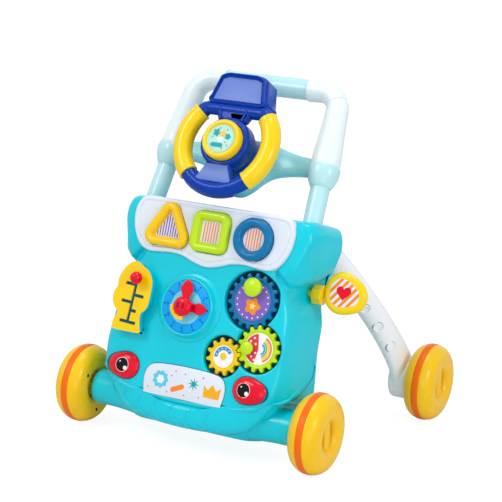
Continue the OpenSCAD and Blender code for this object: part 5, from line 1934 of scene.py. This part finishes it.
def stage_floor(z):
    """A wide floor whose direct look is near white but keeps the shadow: part diffuse, part its own light."""
    h = FLOOR_HALF
    mesh = bpy.data.meshes.new("floor")
    mesh.from_pydata([(-h, -h, z), (h, -h, z), (h, h, z), (-h, h, z)], [], [(0, 1, 2, 3)])
    floor = bpy.data.objects.new("floor", mesh)
    bpy.context.scene.collection.objects.link(floor)
    material = bpy.data.materials.new("floor_white")
    material.use_nodes = True
    tree = material.node_tree
    tree.nodes.clear()
    plain = shader_node(tree, "BsdfDiffuse", (0.8, 0.8, 0.8))
    veil = shader_node(tree, "BsdfDiffuse", (0.3, 0.3, 0.3))
    glow = shader_node(tree, "Emission", (1, 1, 1), FLOOR_GLOW)
    both = shader_node(tree, "AddShader")
    tree.links.new(veil.outputs[0], both.inputs[0])
    tree.links.new(glow.outputs[0], both.inputs[1])
    mixed(tree, shader_node(tree, "LightPath").outputs["Is Camera Ray"], plain, both, "OutputMaterial")
    mesh.materials.append(material)
    return floor


def stage_lamp(name, spot, size, power, colour):
    """A square soft lamp that looks at the walker's middle."""
    light = bpy.data.lights.new(name, "AREA")
    light.size, light.energy, light.color = size, power, colour
    lamp = bpy.data.objects.new(name, light)
    bpy.context.scene.collection.objects.link(lamp)
    lamp.location = spot
    aim = np.array([0, 0, 0.25]) - spot
    lamp.rotation_euler = Vector(aim).to_track_quat("-Z", "Y").to_euler()


def stage_camera(lens):
    """The camera's place and turn, from its right, up and backward directions."""
    data = bpy.data.cameras.new("view")
    data.lens, data.sensor_width = lens, 36
    data.shift_y = CAMERA_SHIFT
    data.clip_end = 100
    camera = bpy.data.objects.new("view", data)
    bpy.context.scene.collection.objects.link(camera)
    forward = np.array(CAMERA_FORWARD)
    right = np.cross(forward, CAMERA_UP)
    rows = np.stack([right, np.cross(right, forward), -forward], 1)
    rows /= np.linalg.norm(rows, axis=0)
    camera.matrix_world = Matrix([[*row, at] for row, at in zip(rows, CAMERA_AT)] + [[0, 0, 0, 1]])
    bpy.context.scene.camera = camera


OPERATORS = (
    WALKER_OT_stage, WALKER_OT_body, WALKER_OT_buttons, WALKER_OT_shifter, WALKER_OT_clock, WALKER_OT_gears,
    WALKER_OT_eyes, WALKER_OT_handle, WALKER_OT_steering, WALKER_OT_legs, WALKER_OT_wheels, WALKER_OT_paddle)


class WALKER_PT_panel(bpy.types.Panel):
    """Lists the walker's operators and settings."""

    bl_idname = "WALKER_PT_panel"
    bl_label = "Baby walker"
    bl_space_type = "VIEW_3D"
    bl_region_type = "UI"
    bl_category = "Baby walker"

    def draw(self, context):
        for operator in OPERATORS:
            self.layout.operator(operator.bl_idname)
        for settings in (context.scene.walker_sizes, context.scene.walker_colours):
            for key in settings.__annotations__:
                self.layout.prop(settings, key)


CLASSES = (WALKER_PG_colours, WALKER_PG_sizes, *OPERATORS, WALKER_PT_panel)


def register():
    """Adds the settings, operators and panel."""
    for cls in CLASSES:
        bpy.utils.register_class(cls)
    bpy.types.Scene.walker_colours = bpy.props.PointerProperty(type=WALKER_PG_colours)
    bpy.types.Scene.walker_sizes = bpy.props.PointerProperty(type=WALKER_PG_sizes)


def unregister():
    """Takes them away again."""
    del bpy.types.Scene.walker_sizes, bpy.types.Scene.walker_colours
    for cls in reversed(CLASSES):
        bpy.utils.unregister_class(cls)


def main():
    """Builds the walker in order."""
    register()
    for operator in OPERATORS:
        group, name = operator.bl_idname.split(".")
        getattr(getattr(bpy.ops, group), name)()
    bpy.context.view_layer.update()


if __name__ == "__main__":
    main()
